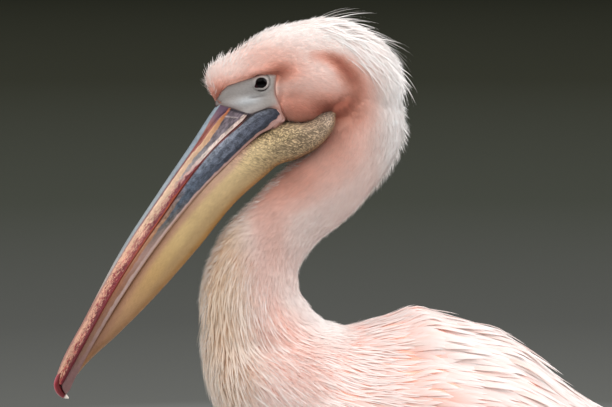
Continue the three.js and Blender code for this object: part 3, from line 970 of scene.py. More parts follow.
def fill_mesh(mesh, vertices, colours, flat, corners, sizes, per):
    """Fills a mesh with copies of one small mesh, each with its own places and colours."""
    count = len(vertices)
    mesh.vertices.add(count * per)
    mesh.vertices.foreach_set("co", metres(vertices).astype(np.float32).ravel())
    loops = (corners[None] + per * np.arange(count)[:, None]).ravel()
    mesh.loops.add(len(loops))
    mesh.loops.foreach_set("vertex_index", loops.astype(np.int32))
    starts = np.concatenate([[0], np.cumsum(np.tile(sizes, count))[:-1]])
    mesh.polygons.add(count * len(sizes))
    mesh.polygons.foreach_set("loop_start", starts.astype(np.int32))
    mesh.update(calc_edges=True)
    mesh.polygons.foreach_set("use_smooth", np.ones(len(mesh.polygons), bool))
    put_marks(mesh, {"plumage": np.c_[colours.reshape(-1, 3), np.ones(count * per)]})
    layer = mesh.uv_layers.new(name="OFBake")
    layer.data.foreach_set("uv", flat.reshape(-1, 2)[loops].astype(np.float32).ravel())


def soft_normals(mesh, of_skin, flow):
    """Normals between each feather's own and the skin's, as a coat's loose edges scatter light."""
    own = threes(mesh.vertex_normals, "vector").astype(float)
    own *= np.sign((own * of_skin).sum(-1, keepdims=True) + 1e-9)
    return unit(blend(own, of_skin, flow)).astype(np.float32)


# %% [markdown]
# ### Velvet of the head and neck
#
# The head and upper neck wear feathers from 5 to 15 mm long, so fine that they read as velvet. They
# lie flat on the cheeks. Along the crown, the nape and the throat a longer fuzz stands up through
# them, and bristles stand on the forehead: both are sparse, and are there for the ragged outline.

# %% Velvet
def outside_face(points):
    on_side = np.abs(points[:, 1]) > 4
    start = np.where(points[:, 0] > -166, -1.5, 0.3)
    return ~((edge_distance(points, FACE) < start) & on_side & (points[:, 0] > -234))


def velvet_place(points, normals):
    velvet = (1 - long_coat(points)) * ease(-30, -70, points[:, 0] + 3 * (points[:, 2] - 470))
    velvet = np.where(points[:, 2] > 490, 1 - long_coat(points), velvet)
    under_lances = 0.35 * ease(-100, -130, points[:, 0]) * ease(300, 340, points[:, 2])
    return outside_face(points) * np.maximum(velvet, under_lances)


def varied(colours, spread):
    return np.clip(colours * random.normal(1, spread, (len(colours), 1)), 0, 1)


found = roots(1.15, velvet_place)
points, normals, lies, shares = found
clumps = sum(
    much * rough(points[:, 0] / size, points[:, 2] / size) for much, size in ((0.04, 5), (0.03, 14))
)
ahead = points + 4 * lies  # a velvet feather shows the colour of its root this far back
tint = varied(blend(plumage(ahead), underlayer(ahead), 0.5), 0.04) * (1 + clumps[:, None])
long_neck = ease(690, 560, points[:, 2])
rear_neck = ease(-56, -20, points[:, 0]) * ease(520, 600, points[:, 2])
length = (blend(7, 12, long_neck) + 2 * rear_neck) * random.uniform(0.75, 1.25, len(points))
lift = blend(11, 19, np.maximum(long_neck, rear_neck)) * random.uniform(0.6, 1.4, len(points))
plant(
    "velvet", straight(found, length, lift, 2, sway=0.12, sink=0.6), shares, 1.25,
    (tint * 0.95, np.minimum(tint * 1.03, 1), np.clip(tint, 0, 1)), columns=2, cup=0, flow=0.93,
)


# %% Standing fuzz
def fuzz_place(points, normals):
    """Along the crown, the nape and the throat, where the coat's edge is ragged."""
    edge = ease(0.62, 0.25, np.abs(normals[:, 1]))
    head = ease(700, 720, points[:, 2]) * ease(-84, -60, points[:, 0])
    crown_top = ease(778, 792, points[:, 2])
    neck = ease(705, 690, points[:, 2]) * ease(330, 420, points[:, 2])
    front = np.where(points[:, 2] < 520, ease(-170, -215, points[:, 0]), 1)
    keep = np.maximum(neck * front, np.maximum(crown_top, head)) * edge
    return keep * outside_face(points)


found = roots(0.3, fuzz_place)
points, normals, lies, shares = found
# Painted nearly white: partly the fluff's own colour and partly painted rim light along the
# outline.
tint = varied(blend(plumage(points), WHITE, 0.85), 0.04)
front = ease(-150, -200, points[:, 0]) * ease(660, 600, points[:, 2])
on_neck = ease(712, 696, points[:, 2])
nape = ease(-46, -22, points[:, 0]) * ease(540, 620, points[:, 2])
length = (6.5 + 2 * on_neck + 2 * front + 4 * nape) * random.uniform(0.75, 1.3, len(points))
lift = random.uniform(24, 42, len(points)) + 14 * on_neck + 6 * nape
plant(
    "fuzz", straight(found, length, lift, 2, curl=0.1, sway=0.22, sink=0.6), shares, 1.5,
    (tint, tint, tint), columns=2, cup=0, flow=0.55,
)


# %% Forehead bristles
def bristle_place(points, normals):
    front = ease(-190, -214, points[:, 0]) * ease(718, 732, points[:, 2])
    top = 0.6 * ease(-130, -190, points[:, 0]) * ease(764, 780, points[:, 2])
    return outside_face(points) * np.maximum(front, top) * ease(1, 0.3, np.abs(normals[:, 1]))


found = roots(0.3, bristle_place)
points, normals, lies, shares = found
tint = varied(blend(plumage(points), WHITE, 0.65), 0.05)
upper = ease(740, 775, points[:, 2])
length = random.uniform(6, 13, len(points)) * blend(1.1, 0.8, ease(-215, -180, points[:, 0]))
lift = random.uniform(18, 44, len(points)) + 8 * upper
plant(
    "bristles",
    straight(found, length, lift, 3, curl=0.1, sway=0.22), shares, 1.6,
    (tint * 0.97, tint, tint), columns=2, cup=0, flow=0.6,
)

# %% [markdown]
# ### Crest
#
# Long loose plumes spring from the back of the crown and hang down the nape. They are under 2 mm
# wide and up to 9 cm long, and a few fly away from the head.

# %% Crest plumes
def crest_place(points, normals):
    x, z = points[:, 0], points[:, 2]
    top = ease(-130, -92, x) * ease(790, 806, z)
    rear = 0.6 * ease(-52, -36, x) * ease(716, 745, z)
    return np.clip(top + rear, 0, 1) * ease(38, 26, np.abs(points[:, 1]))


def ear_place(points, normals):
    """Behind the ear, where long plumes hang past it."""
    x, z = points[:, 0], points[:, 2]
    return mound(x, z, (-66, 786), (13, 9)) * ease(16, 24, np.abs(points[:, 1]))


found = roots(0.12, crest_place)
points, normals, lies, shares = found
tint = varied(blend(plumage(points), WHITE, 0.7), 0.05)
on_top = ease(770, 800, points[:, 2])
length = blend(random.uniform(16, 34, len(points)), random.uniform(30, 80, len(points)), on_top)
plant(
    "crest_plumes",
    draped(found, length, random.uniform(1, 6, len(points)) + 10 * (1 - on_top), 7, sway=0.16,
           settle=0.4),
    shares, 1.6, (tint, tint, tint), columns=2, cup=0, flow=0.75, replaces=["crest"],
)

found = roots(0.12, ear_place)
points, normals, lies, shares = found
tint = varied(blend(plumage(points), WHITE, 0.85), 0.04)
length = random.uniform(45, 92, len(points))
plant(
    "ear_plumes", draped(found, length, random.uniform(3, 8, len(points)), 8, sway=0.12),
    shares, 1.8, (tint, tint, tint), columns=2, cup=0, flow=0.7,
)

found = roots(0.02, crest_place)
points, normals, lies, shares = found
tint = varied(blend(plumage(points), WHITE, 0.8), 0.03)
length = random.uniform(26, 60, len(points))
plant(
    "loose_plumes",
    straight(found, length, random.uniform(8, 30, len(points)), 7, curl=0.25, sway=0.24),
    shares, 1.9, (tint, tint, tint), columns=2, cup=0, flow=0.5,
)

# %% [markdown]
# ### Lances of the lower neck and breast
#
# Down the neck the feathers lengthen into narrow lances that part into streaks, straw-coloured in
# front, with rosy down between them. They are 2 to 3.5 mm wide and grow to about 5 cm.

# %% Lances
def lance_place(points, normals):
    x, z = points[:, 0], points[:, 2]
    thinner = blend(0.65, 1, ease(470, 520, z))
    return long_coat(points) * ease(-20, -80, x) * ease(230, 300, z) * thinner


found = roots(0.08, lance_place)
points, normals, lies, shares = found
grown = ease(580, 440, points[:, 2])
x, z = points[:, 0], points[:, 2]
paler = blend(0.45, 0.92, ease(480, 390, z)) * blend(0.6, 1, ease(-225, -200, x))
paler = paler - 0.45 * ease(405, 372, z) * ease(-170, -120, x)
tint = varied(blend(plumage(points), WHITE, paler[:, None]), 0.05)
under = blend(underlayer(points), tint, 0.15)
length = blend(16, 44, grown) * random.uniform(0.75, 1.25, len(points))
lift = (blend(12, 6, grown) + 8 * ease(-190, -222, x)) * random.uniform(0.5, 1.5, len(points))
plant(
    "lances", draped(found, length, lift, 5, sway=0.1, settle=0.35), shares, blend(2.0, 3.4, grown),
    (blend(tint, under, 0.75), tint, blend(tint, under, 0.65)), flow=0.65, turn=0.5, cup=0.2,
)

# %% [markdown]
# ### Contour feathers of the trunk
#
# The back, flanks and belly wear overlapping contour feathers, white over rosy down: 8 mm wide on
# the mantle, where a few stand loose, and 11 mm below.

# %% Contour feathers
def contour_place(points, normals):
    return ease(-100, -50, points[:, 0]) * np.maximum(long_coat(points), ease(20, 40, points[:, 0]))


found = roots(0.015, contour_place)
points, normals, lies, shares = found
tint = varied(WHITE + 0 * points, 0.02)
rosy = blend(0.95, 0.4, ease(-60, 60, points[:, 0])) + 0.5 * random.random(len(points)) ** 2
rosy = rosy + 0.4 * ease(408, 372, points[:, 2]) * ease(150, 40, points[:, 0])
under = blend(tint, underlayer(points), np.minimum(rosy, 1.2)[:, None])
upper = ease(260, 380, points[:, 2])
length = blend(38, 70, ease(-80, 120, points[:, 0])) * random.uniform(0.75, 1.25, len(points))
loose = 10 * (random.random(len(points)) < 0.05) * upper * ease(-50, 20, points[:, 0])
lift = 5 * random.uniform(0.5, 1.5, len(points)) + loose
plant(
    "contour", draped(found, length, lift, 6, sway=0.09, settle=0.4), shares, blend(11, 8, upper),
    (under, 0.98 * tint, blend(tint, under, 0.5)), columns=5, outline=pointed, flow=0.75, turn=0.8,
    cup=0.2,
)


# %% [markdown]
# ### Wings and tail
#
# The folded wing shows rows of coverts, white over the dark flight feathers, whose black tips
# reach past the tail's base. The feathers of a row are rooted on a line along the wing, and the
# rows overlap as shingles do. The tail is a short fan of broad white feathers.

# %% Rows of large feathers
def row_roots(side, count, start, end):
    """Roots in a row on the wing, from (x, angle) to (x, angle), with a little play."""
    share = (np.arange(count) + 0.5) / count
    x = blend(start[0], end[0], share) + random.normal(0, 1.5, count)
    angle = blend(start[1], end[1], share) + random.normal(0, 0.8, count)
    at, up = on_skin(beside_trunk(side, x, angle, 12))
    lies, shares = lie_of(at, up)
    return at, up, lies, shares


def lay_row(side, count, start, end, length, width, colours, lift):
    """The shafts, shares, widths and colours of a row, which lengthens or shortens on its way."""
    found = row_roots(side, count, start, end)
    sizes = blend(length[0], length[1], (np.arange(count) + 0.5) / count)
    sizes = sizes * random.uniform(0.94, 1.06, count)
    tone = random.normal(1, 0.03, (count, 1))
    shades = [np.clip(shade_of(code) * tone, 0, 1) for code in colours]
    return draped(found, sizes, lift, 8, 0.05, 0.5, 0), found[3], width + 0 * sizes, shades


COVERTS = ("#f4c7b6", "#fbf7f5", "#f8e7df")
DARK = ("#5b5450", "#2c2826", "#3a3532")
# Each row's count, start and end as (x, angle), lengths at both, width, colours and lift.
WING_ROWS = {
    "secondaries": (26, (120, -30), (330, -4), (95, 110), 26, DARK, 3),
    "greater coverts": (34, (40, -26), (290, 6), (80, 95), 19, COVERTS, 6),
    "median coverts": (40, (-20, -20), (250, 20), (60, 80), 14, COVERTS, 6),
    "lesser coverts": (44, (-60, -10), (210, 30), (50, 70), 11, COVERTS, 6),
    "tertials": (22, (110, 38), (300, 44), (90, 110), 15, COVERTS, 5),
    "scapulars": (40, (-20, 58), (250, 56), (66, 96), 11, COVERTS, 5),
    "upper scapulars": (36, (10, 74), (230, 70), (60, 90), 9, COVERTS, 6),
}


def stacked(rows):
    """Several rows of shafts as one."""
    shafts, shares, widths, colours = zip(*rows)
    shafts, colours = [[np.concatenate(same) for same in zip(*each)] for each in (shafts, colours)]
    return shafts, np.concatenate(shares), np.concatenate(widths), colours


pale_rows, dark_rows = [], []
for side, _ in SIDES:
    for row in WING_ROWS.values():
        (dark_rows if DARK in row else pale_rows).append(lay_row(side, *row))
shafts, shares, width, colours = stacked(pale_rows)
plant("wing_coverts", shafts, shares, width, colours, columns=5, outline=pointed, flow=0.7,
      turn=0.5, cup=0.18)

# %% Flight feathers and tail
def ribbon(starts, ends, ups, rungs, arch):
    """Shafts between given places, arched upwards."""
    t = np.linspace(0, 1, rungs + 1)[:, None]
    shaft = blend(starts[:, None], ends[:, None], t) + ups[:, None] * arch * (4 * t * (1 - t))
    return shaft, np.repeat(ups[:, None], rungs + 1, axis=1)


def primaries(side):
    """Nine long stiff feathers, rooted under the coverts, with tips stepped over the tail."""
    count = 9
    share = (np.arange(count) + 0.5) / count
    starts = beside_trunk(side, blend(232, 262, share), blend(-24, 40, share), 2.0)
    ends = beside_trunk(side, blend(352, 458, share), blend(-8, 52, share), blend(6, 5, share))
    ups = unit(starts * [0, 1, 1] - [0, 0, 250]) + [0, 0, 0.2]
    tone = [shade_of(code) + 0 * ups for code in ("#4a4340", "#1d1a19", "#2a2624")]
    shafts = ribbon(starts, ends, unit(ups), 10, 6.0)
    return shafts, np.full(count, 0.8), np.full(count, 24.0), tone


dark_rows += [primaries(side) for side, _ in SIDES]
dark_rows = [(tuple(resampled(part, 9) for part in row[0]), *row[1:]) for row in dark_rows]
shafts, shares, width, colours = stacked(dark_rows)
plant("flight_feathers", shafts, shares, width, colours, columns=5, outline=blade, flow=0.2,
      cup=0.2, slot="flight_feathers", material=dark_keratin,
      replaces=["wing_left_primaries", "wing_right_primaries"])

TAIL = {"x": 352.0, "z": 235.0, "slope": -15.0, "length": 170.0}
spread = np.linspace(-1, 1, 20)
fan, slope = np.radians(17 * spread), math.radians(TAIL["slope"])
starts = placed(TAIL["x"], 34 * spread, TAIL["z"] - 5 * spread**2)
reach = TAIL["length"] * (1 - 0.14 * spread**2)
ends = starts + placed(
    reach * np.cos(fan) * math.cos(slope), reach * np.sin(fan), reach * math.sin(slope),
)
ends[:, 2] -= 4 * spread**2
ups = unit(placed(0.25, 0.12 * spread, 1))
starts[:, 2] += 3 - 6 * np.abs(spread)
ends[:, 2] += 2 - 4 * np.abs(spread)
tone = [shade_of(code) + 0 * ups for code in ("#f3ddd4", "#fbf6f3", "#d9c9c1")]
plant("tail_feathers", ribbon(starts, ends, ups, 10, 3.0), np.full(len(spread), 0.93), 27.0, tone,
      columns=5, outline=blade, flow=0.1, cup=0.25, replaces=["tail"])

# %% [markdown]
# ## Bill and pouch
#
# The bill is bone under a thin horny sheath, which is blue-grey at the base, cream along its ridge
# and dark red on the cutting edge. Bands of colour run along it, so each band is given by where it
# starts, in millimetres below the ridge, and by its colours from base to tip. The pouch is bare
# elastic skin, granular at the throat and smooth further out.

# %% Sizes of the bill
BILL_BASE = {"x": -227, "z": 714}
SLOPE = math.radians(60.4)  # below level
culmen = profile([-20, -3], [0, 0], [54, 4], [125, 10], [200, 15], [298, 13], [372, 9], [382, 6.5])
tomium = profile([-20, -43], [0, -33.8], [16, -28.7], [30, -24.2], [47, -19.2], [74, -14.2],
                 [154, -5.4], [215, 0], [391, 0])
bill_half = profile([-20, 26], [0, 23], [60, 18], [150, 17], [250, 19], [330, 16], [372, 10],
                    [382, 7])
ramus_top = profile(
    [-32, -60], [-30, -54.5], [-28, -51.2], [-23, -46.2], [-15.5, -40.2], [-8.7, -36.8],
    [0, -33.9], [16, -28.7], [30, -24.2], [47, -19.2], [74, -14.4], [154, -6], [215, -0.6],
    [372, -0.6], [380, -1.5], [384, -5], [386, -8.5],
)
ramus_low = profile(
    [-32, -62], [-30, -70], [-26, -76], [-18, -71.8], [-7, -66.1], [1.4, -60.5], [13.5, -55.8],
    [44, -47], [98, -32], [177, -18], [258, -11], [340, -10.5], [372, -11.5], [380, -12.5],
    [386, -11.5],
)
ramus_outer = profile([-32, 33], [-20, 34], [0, 31.5], [60, 25], [150, 22], [250, 20], [330, 14],
                      [374, 9], [386, 6.5])
ramus_half = profile([-32, 2.5], [-24, 5], [0, 6], [100, 4], [374, 2.5], [386, 2])
pouch_top = profile([-62, -119], [-53, -108], [-40, -100.5], [-32, -92], [-26, -80], [-18, -70],
                    [0, -58], [14, -50], [60, -30], [200, -9], [372, -5])
pouch_low = profile(
    [-62, -126], [-52, -131], [-33, -132], [-24, -130.5], [-5, -123], [7.5, -115], [23, -101],
    [43, -93], [82, -79], [161, -64], [230, -49], [295, -31], [345, -15], [372, -10],
)
pouch_half = profile([-62, 36], [-50, 45], [-30, 46], [0, 40], [60, 28], [150, 23], [250, 20],
                     [330, 13], [372, 5])


def on_bill(along, height, offset):
    """A place by its distance along the bill, its height over that line and its side offset."""
    return placed(
        BILL_BASE["x"] - along * math.cos(SLOPE) - height * math.sin(SLOPE), offset,
        BILL_BASE["z"] - along * math.sin(SLOPE) + height * math.cos(SLOPE),
    )


# %% Bands of colour
def running(along, *stops):
    """A colour that changes along a piece, from (place, sRGB) stops."""
    shades = np.array([shade_of(code) for _, code in stops])
    at = [place for place, _ in stops]
    return placed(*(np.interp(along, at, shade) for shade in shades.T))


def banded(depth, soft, first, *bands):
    """Bands of colour, each (where it starts, its colour), with changes this soft."""
    shown = first
    for start, colour in bands:
        shown = blend(shown, colour, ease(-soft, soft, depth - start)[:, None])
    return shown


BARE_TONE = 0.84  # of the bare parts, which this light shows paler than they are


def opaque(colours):
    return np.c_[np.clip(colours * BARE_TONE, 0, 1), np.ones(len(colours))]


def bare_marks(colours, mottle, *surface, **more):
    """What the finishes of bare parts read: colours, how mottled they are, and places on the
    surface in millimetres."""
    mottle = np.broadcast_to(mottle, len(colours))
    return {"paint": opaque(colours), "mottle": mottle, "surface": placed(*surface, 0), **more}


# %% [markdown]
# ### Upper bill
#
# The upper bill is a long bar with a rounded ridge and a groove to each side of it. It could be cut
# from a box, but one grid bent round its section gives every point its place along the bill and
# its depth under the ridge, and the bands of colour read those two numbers. Its sheath wears away
# in flakes, so the bands have torn edges that run lengthwise.

# %% Colours of the upper bill
GROOVE = profile([-10, 12], [0, 11.6], [8, 9.2], [15, 7.8], [25, 6.8], [35, 6], [46, 5.3],
                 [60, 4.6], [100, 3.6], [160, 2.6], [240, 1.4], [300, 0.4])
NARROW = profile([0, 2.4], [6, 2.6], [17, 2.8], [30, 3.6], [45, 3.8], [60, 3.6], [100, 2.9],
                 [160, 2], [240, 0.9], [300, -1])
CREAM_START = profile([0, 11.4], [10, 10.4], [22, 9.8], [34, 8.9], [46, 8.2], [60, 6.5], [100, 4.4],
                      [160, 3.2], [240, 2], [300, 1])
# Where the last four bands start.
STARTS = [
    profile([0, 14.6], [15, 14.4], [25, 14.4], [35, 14], [46, 13], [60, 11.4], [100, 9.6],
            [160, 9.8], [200, 7.6], [240, 5.6], [330, 5.6]),
    profile([0, 29.2], [9, 27], [21, 23.8], [33, 20.8], [45, 18.2], [60, 16], [100, 12.4],
            [160, 10.6], [200, 10], [240, 6.6], [330, 6.6]),
    profile([0, 33], [9, 31], [21, 27.9], [33, 25], [45, 22.4], [60, 20.2], [100, 14],
            [160, 11.4], [200, 10.6], [240, 7.4], [330, 7.2]),
    profile([0, 33.4], [9, 31.4], [21, 28.3], [33, 25.4], [45, 22.9], [60, 20.9], [100, 17.4],
            [160, 16], [200, 14.4], [240, 13], [330, 10]),
]
RAGGED = profile([0, 0.4], [60, 0.7], [110, 1.5], [300, 1.7])
# The bands of the upper bill, from the ridge down, with their colours at places along it.
SHEATH = [
    [  # strip
        (0, "#8796a0"), (60, "#8b98a3"), (130, "#9fa8ae"), (200, "#979fa3"), (250, "#b5a89f"),
        (330, "#dcc1ad"),
    ],
    [  # line
        (0, "#5a3d55"), (12, "#7a5563"), (24, "#9c6056"), (40, "#9a5448"), (130, "#8c5f62"),
        (240, "#b07f74"),
    ],
    [  # cream
        (0, "#b9683f"), (12, "#c98a5c"), (30, "#d7a680"), (60, "#dfb898"), (130, "#e6c3a6"),
        (200, "#e2b295"), (240, "#dfa98c"), (280, "#d6a086"), (350, "#cd9a80"),
    ],
    [  # under
        (0, "#6d5f68"), (40, "#7f767c"), (60, "#8f8a8c"), (90, "#a79a98"), (110, "#d0a48f"),
        (160, "#bd7f74"), (200, "#c98474"), (240, "#c0685f"), (330, "#b4524b"),
    ],
    [  # pale
        (0, "#e3cbc0"), (60, "#d8c6bc"), (90, "#cf9f97"), (110, "#a5545a"), (160, "#9a4750"),
        (200, "#9d4a4c"), (240, "#96343a"), (280, "#842534"),
    ],
    [  # wine
        (0, "#6a1512"), (30, "#7c1f1f"), (60, "#883a40"), (130, "#82303d"), (200, "#883039"),
        (240, "#7e1f2a"), (280, "#701424"), (350, "#650f1d"),
    ],
    [  # edge
        (-10, "#2b1719"), (10, "#4a1514"), (45, "#7c1a12"), (80, "#963220"), (130, "#a84c2c"),
        (200, "#95402a"), (260, "#7c221c"), (330, "#651420"),
    ],
]


def sheath_colours(along, depth, rise):
    """The colour this deep under the ridge, the streaks' colour and how far they break it up."""
    strip, line, cream, under, pale, wine, edge = (running(along, *each) for each in SHEATH)
    open_part = ease(GROOVE(along), GROOVE(along) + 2, depth) * ease(rise - 0.5, rise - 3, depth)
    torn = rough(along / 4.5, depth / 1.6, 5) + 0.7 * rough(along / 1.8, depth / 0.7, 6)
    ragged = depth + torn * RAGGED(along) * open_part
    colour = banded(
        ragged, 0.45, strip, (NARROW(along), line), (CREAM_START(along), cream),
        (STARTS[0](along), under), (STARTS[1](along), pale), (STARTS[2](along), wine),
        (STARTS[3](along), edge),
    )
    fold = hill(along + 0.45 * (depth - 14), 5, 0.8) * ease(13, 15, depth)
    colour = blend(colour, shade_of("#c9b8b6"), (0.8 * fold * ease(28, 25, depth))[:, None])
    start = -3 - 9 * depth / np.maximum(rise, 1)
    root = ease(3.6, 2.0, along - start) * ease(12, 15, depth)
    colour = blend(colour, shade_of("#241c2a"), (0.9 * root)[:, None])
    in_wine = ease(STARTS[0](along) - 1, STARTS[0](along) + 1.5, depth)
    streak = blend(wine, cream, in_wine[:, None])
    between = hill(depth, STARTS[1](along), 3.2)
    much = ease(70, 130, along) * open_part * np.clip(0.42 + 0.55 * between, 0, 1)
    return colour, streak, much


# %% Upper bill
def maxilla_place(u, v):
    share, reach = capped(v, 0.006)
    on_top = u < 0.86
    turn = np.where(on_top, u / 0.86 - 0.5, (u - 0.86) / 0.14 + 0.5) * math.pi
    high = np.cos(turn)
    level = np.where(on_top, np.abs(high) ** 1.4, 0)
    along = blend(-3 - 9 * (1 - level), 380, share)
    rise = culmen(along) - tomium(along)
    depth = (1 - level) * rise
    channel = hill(depth, GROOVE(along), 1) * ease(320, 230, along)
    under_start = STARTS[0](along)
    ridge = hill(depth, (GROOVE(along) + under_start) / 2, 2)
    hollow = hill(depth, under_start + 5, 5) * ease(90, 40, along)
    rim = ease(rise - 2.6, rise - 0.6, depth)
    relief = on_top * reach * (0.9 * ridge - 1.3 * channel + 0.5 * rim - 1.2 * hollow)
    height = tomium(along) + np.where(on_top, rise * level, 2.5 * high)
    middle = tomium(along) + rise * 0.3
    offset = bill_half(along) * np.sin(turn) * reach
    height = blend(middle, height, reach) + relief * np.abs(high)
    offset = offset + relief * np.sin(turn)

    paint, streak, much = sheath_colours(along, depth, rise)
    underside = ~(on_top | (turn > 3.3))
    paint = np.where(underside[:, None], shade_of("#4a1514"), paint)
    mottle = ease(under_start - 1, under_start + 1, depth) * ease(rise - 1, rise - 3, depth)
    base = ease(70, 30, along)
    marks = bare_marks(
        paint, 0.5 + (0.5 + base) * mottle, along, np.sign(np.sin(turn)) * depth,
        fleck=opaque(streak), flecked=much * on_top,
    )
    return on_bill(along, height, offset), marks


def bill_finish(name, gloss, grain, streak, depth, contrast=0.3):
    """Horny sheath or bare skin: its own colours, broken up by streaks of two sizes. grain is how
    many fine ones there are to a millimetre, streak draws them out and depth is their relief."""
    material, tree, output = new_material(name)
    paint, mottle, surface, fleck, flecked = (
        add(tree, "Attribute", attribute_name=mark)
        for mark in ("paint", "mottle", "surface", "fleck", "flecked")
    )
    spread = add(tree, "Mapping", {0: surface.outputs["Vector"], "Scale": streak})
    fine = add(tree, "TexNoise", {"Vector": spread, "Scale": grain, "Detail": 4.0,
                                  "Roughness": 0.65})
    coarse = add(tree, "TexNoise", {"Vector": spread, "Scale": grain / 4, "Detail": 2.0})
    both = add(tree, "Math", {0: fine, 1: coarse}, operation="ADD")
    wide = add(tree, "MapRange", {0: both, 1: 0.75, 2: 1.25, 3: -1.0, 4: 1.0})
    swing = add(tree, "Math", {0: wide, 1: mottle.outputs["Fac"]}, operation="MULTIPLY")
    value = add(tree, "Math", {0: swing, 1: contrast, 2: 1.0}, operation="MULTIPLY_ADD")
    long_streaks = add(tree, "Mapping", {0: surface.outputs["Vector"], "Scale": (0.26, 2.0, 1)})
    strands = add(tree, "TexNoise", {"Vector": long_streaks, "Scale": 1.0,
                                     "Detail": 3.0, "Distortion": 0.6})
    chance = add(tree, "Math", {0: flecked.outputs["Fac"], 1: 0.25, 2: strands},
                 operation="MULTIPLY_ADD")
    chosen = add(tree, "MapRange", {0: chance, 1: 0.73, 2: 0.8})
    own = add(tree, "Mix", {0: chosen, 6: paint, 7: fleck}, data_type="RGBA")
    toned = add(tree, "HueSaturation", {"Value": value, "Color": own.outputs[2]})
    bump = add(tree, "Bump", {"Height": both, "Strength": 0.5, "Distance": depth})
    finish_surface(tree, output, Base_Color=toned, Roughness=gloss,
                   Normal=bump, Specular_IOR_Level=0.4)
    return material


# Worn keratin with a satin gloss, in streaks about 2 mm wide and 5 mm long.
horn = bill_finish("horny_sheath", 0.42, 0.5, (0.4, 1, 1), 0.0004)
piece(bent_grid("upper_bill", 220, 330, maxilla_place), "bill", horn, replaces=["maxilla"])


# %% [markdown]
# ### Nail
#
# A hooked nail of dark red horn with a pale, worn tip ends the upper bill. It is a tube along a
# short bent line, thinner towards its point, and not a part of the bill's own grid, because the
# hook turns down across the tips of both halves.

# %% Nail
NAIL = np.array([
    [367, 7.4], [375, 6.0], [382, 3.2], [387, -1.8], [389.8, -8.5], [390.6, -17],
], float)
nail_middle, nail_heading = along_line(NAIL)
nail_thick = profile([0, 1.2], [0.2, 2.8], [0.45, 4.4], [0.7, 4.2], [0.88, 2.8], [1, 0.7])
nail_half = profile([0, 8.5], [0.3, 8.5], [0.6, 6.5], [0.85, 3.2], [1, 1])


def nail_place(u, v):
    share, reach = capped(v, 0.03)
    turn = u * 2 * math.pi
    middle, forward = nail_middle(share), nail_heading(share)
    outward = placed(-forward[:, 1], forward[:, 0])
    ring = middle + outward * (nail_thick(share) * reach * np.cos(turn))[:, None]
    offset = nail_half(share) * reach * np.sin(turn)
    # The red is painted pinker on the nail's outer, upper edge as a painted highlight and darker on
    # its inner side as painted shade.
    red = running(np.cos(turn), (-1, "#4c0d12"), (0.1, "#6d0f18"), (0.7, "#8d1d28"),
                  (0.93, "#c65a68"), (1, "#cf6c78"))
    paint = blend(red, shade_of("#f1e6da"), ease(0.83, 0.9, share)[:, None])
    return on_bill(ring[:, 0], ring[:, 1], offset), bare_marks(paint, 0.3, share * 34, turn * 8)


piece(bent_grid("bill_nail", 40, 48, nail_place), "nail", horn, replaces=["nail"])


# %% [markdown]
# ### Arms of the lower bill
#
# The lower bill is two thin, springy arms of bone that meet at the tip, with the pouch slung
# between them. Each is a grid bent round a tall, narrow section. Its horn is mottled blue-grey
# near the base and brown further out, with a pale lilac line low down, above the pouch.

# %% Arms of the lower bill
LILAC_END = profile([-32, 2], [-29, 6], [-26, 10], [-21, 9], [-14, 7.4], [-6, 5.4], [3, 4.4],
                    [19, 4.2], [60, 4.6], [130, 4.4], [200, 4.6], [330, 5])
LILAC_START = profile([-32, 0], [0, 0.6], [40, 1.6], [60, 2.2], [130, 2], [220, 1], [330, 1])
# The bands of each arm, from the pouch up. Partly painted light: the blue-grey is painted darker
# low down, as shade on the arm's rounded side, and lighter in the top band, as a highlight.
ARM = [
    [  # brown
        (0, "#8a6455"), (60, "#8d6b55"), (150, "#a9846c"), (250, "#9b755f"), (330, "#8a6455"),
        (360, "#7d5a58"),
    ],
    [  # lilac
        (-32, "#d0a49c"), (0, "#c89c94"), (60, "#bd9890"), (150, "#c4a59c"), (250, "#b49890"),
        (330, "#8d6c64"), (360, "#7d5a58"),
    ],
    # partly painted shade, low on the arm's rounded side
    [  # dark
        (-32, "#353845"), (60, "#3d4250"), (110, "#4d5460"), (150, "#756a62"), (190, "#a5857b"),
        (240, "#93674f"), (330, "#87634f"), (360, "#7d5a58"),
    ],
    [  # blue
        (-32, "#454855"), (0, "#5a5f6e"), (40, "#656b7a"), (90, "#525b6a"), (120, "#4c5866"),
        (150, "#5f6062"), (180, "#8f766c"), (200, "#ab887f"), (240, "#956650"), (330, "#8a6552"),
        (360, "#7d5a58"),
    ],
    # partly a painted highlight along the arm's rounded top
    [  # light
        (-32, "#4b4f5b"), (-10, "#696e7b"), (30, "#868c9a"), (60, "#7a8290"), (100, "#5f6a7b"),
        (130, "#8a6f60"), (160, "#b0805f"), (220, "#a06a4c"), (330, "#80553f"), (360, "#7d5a58"),
    ],
]


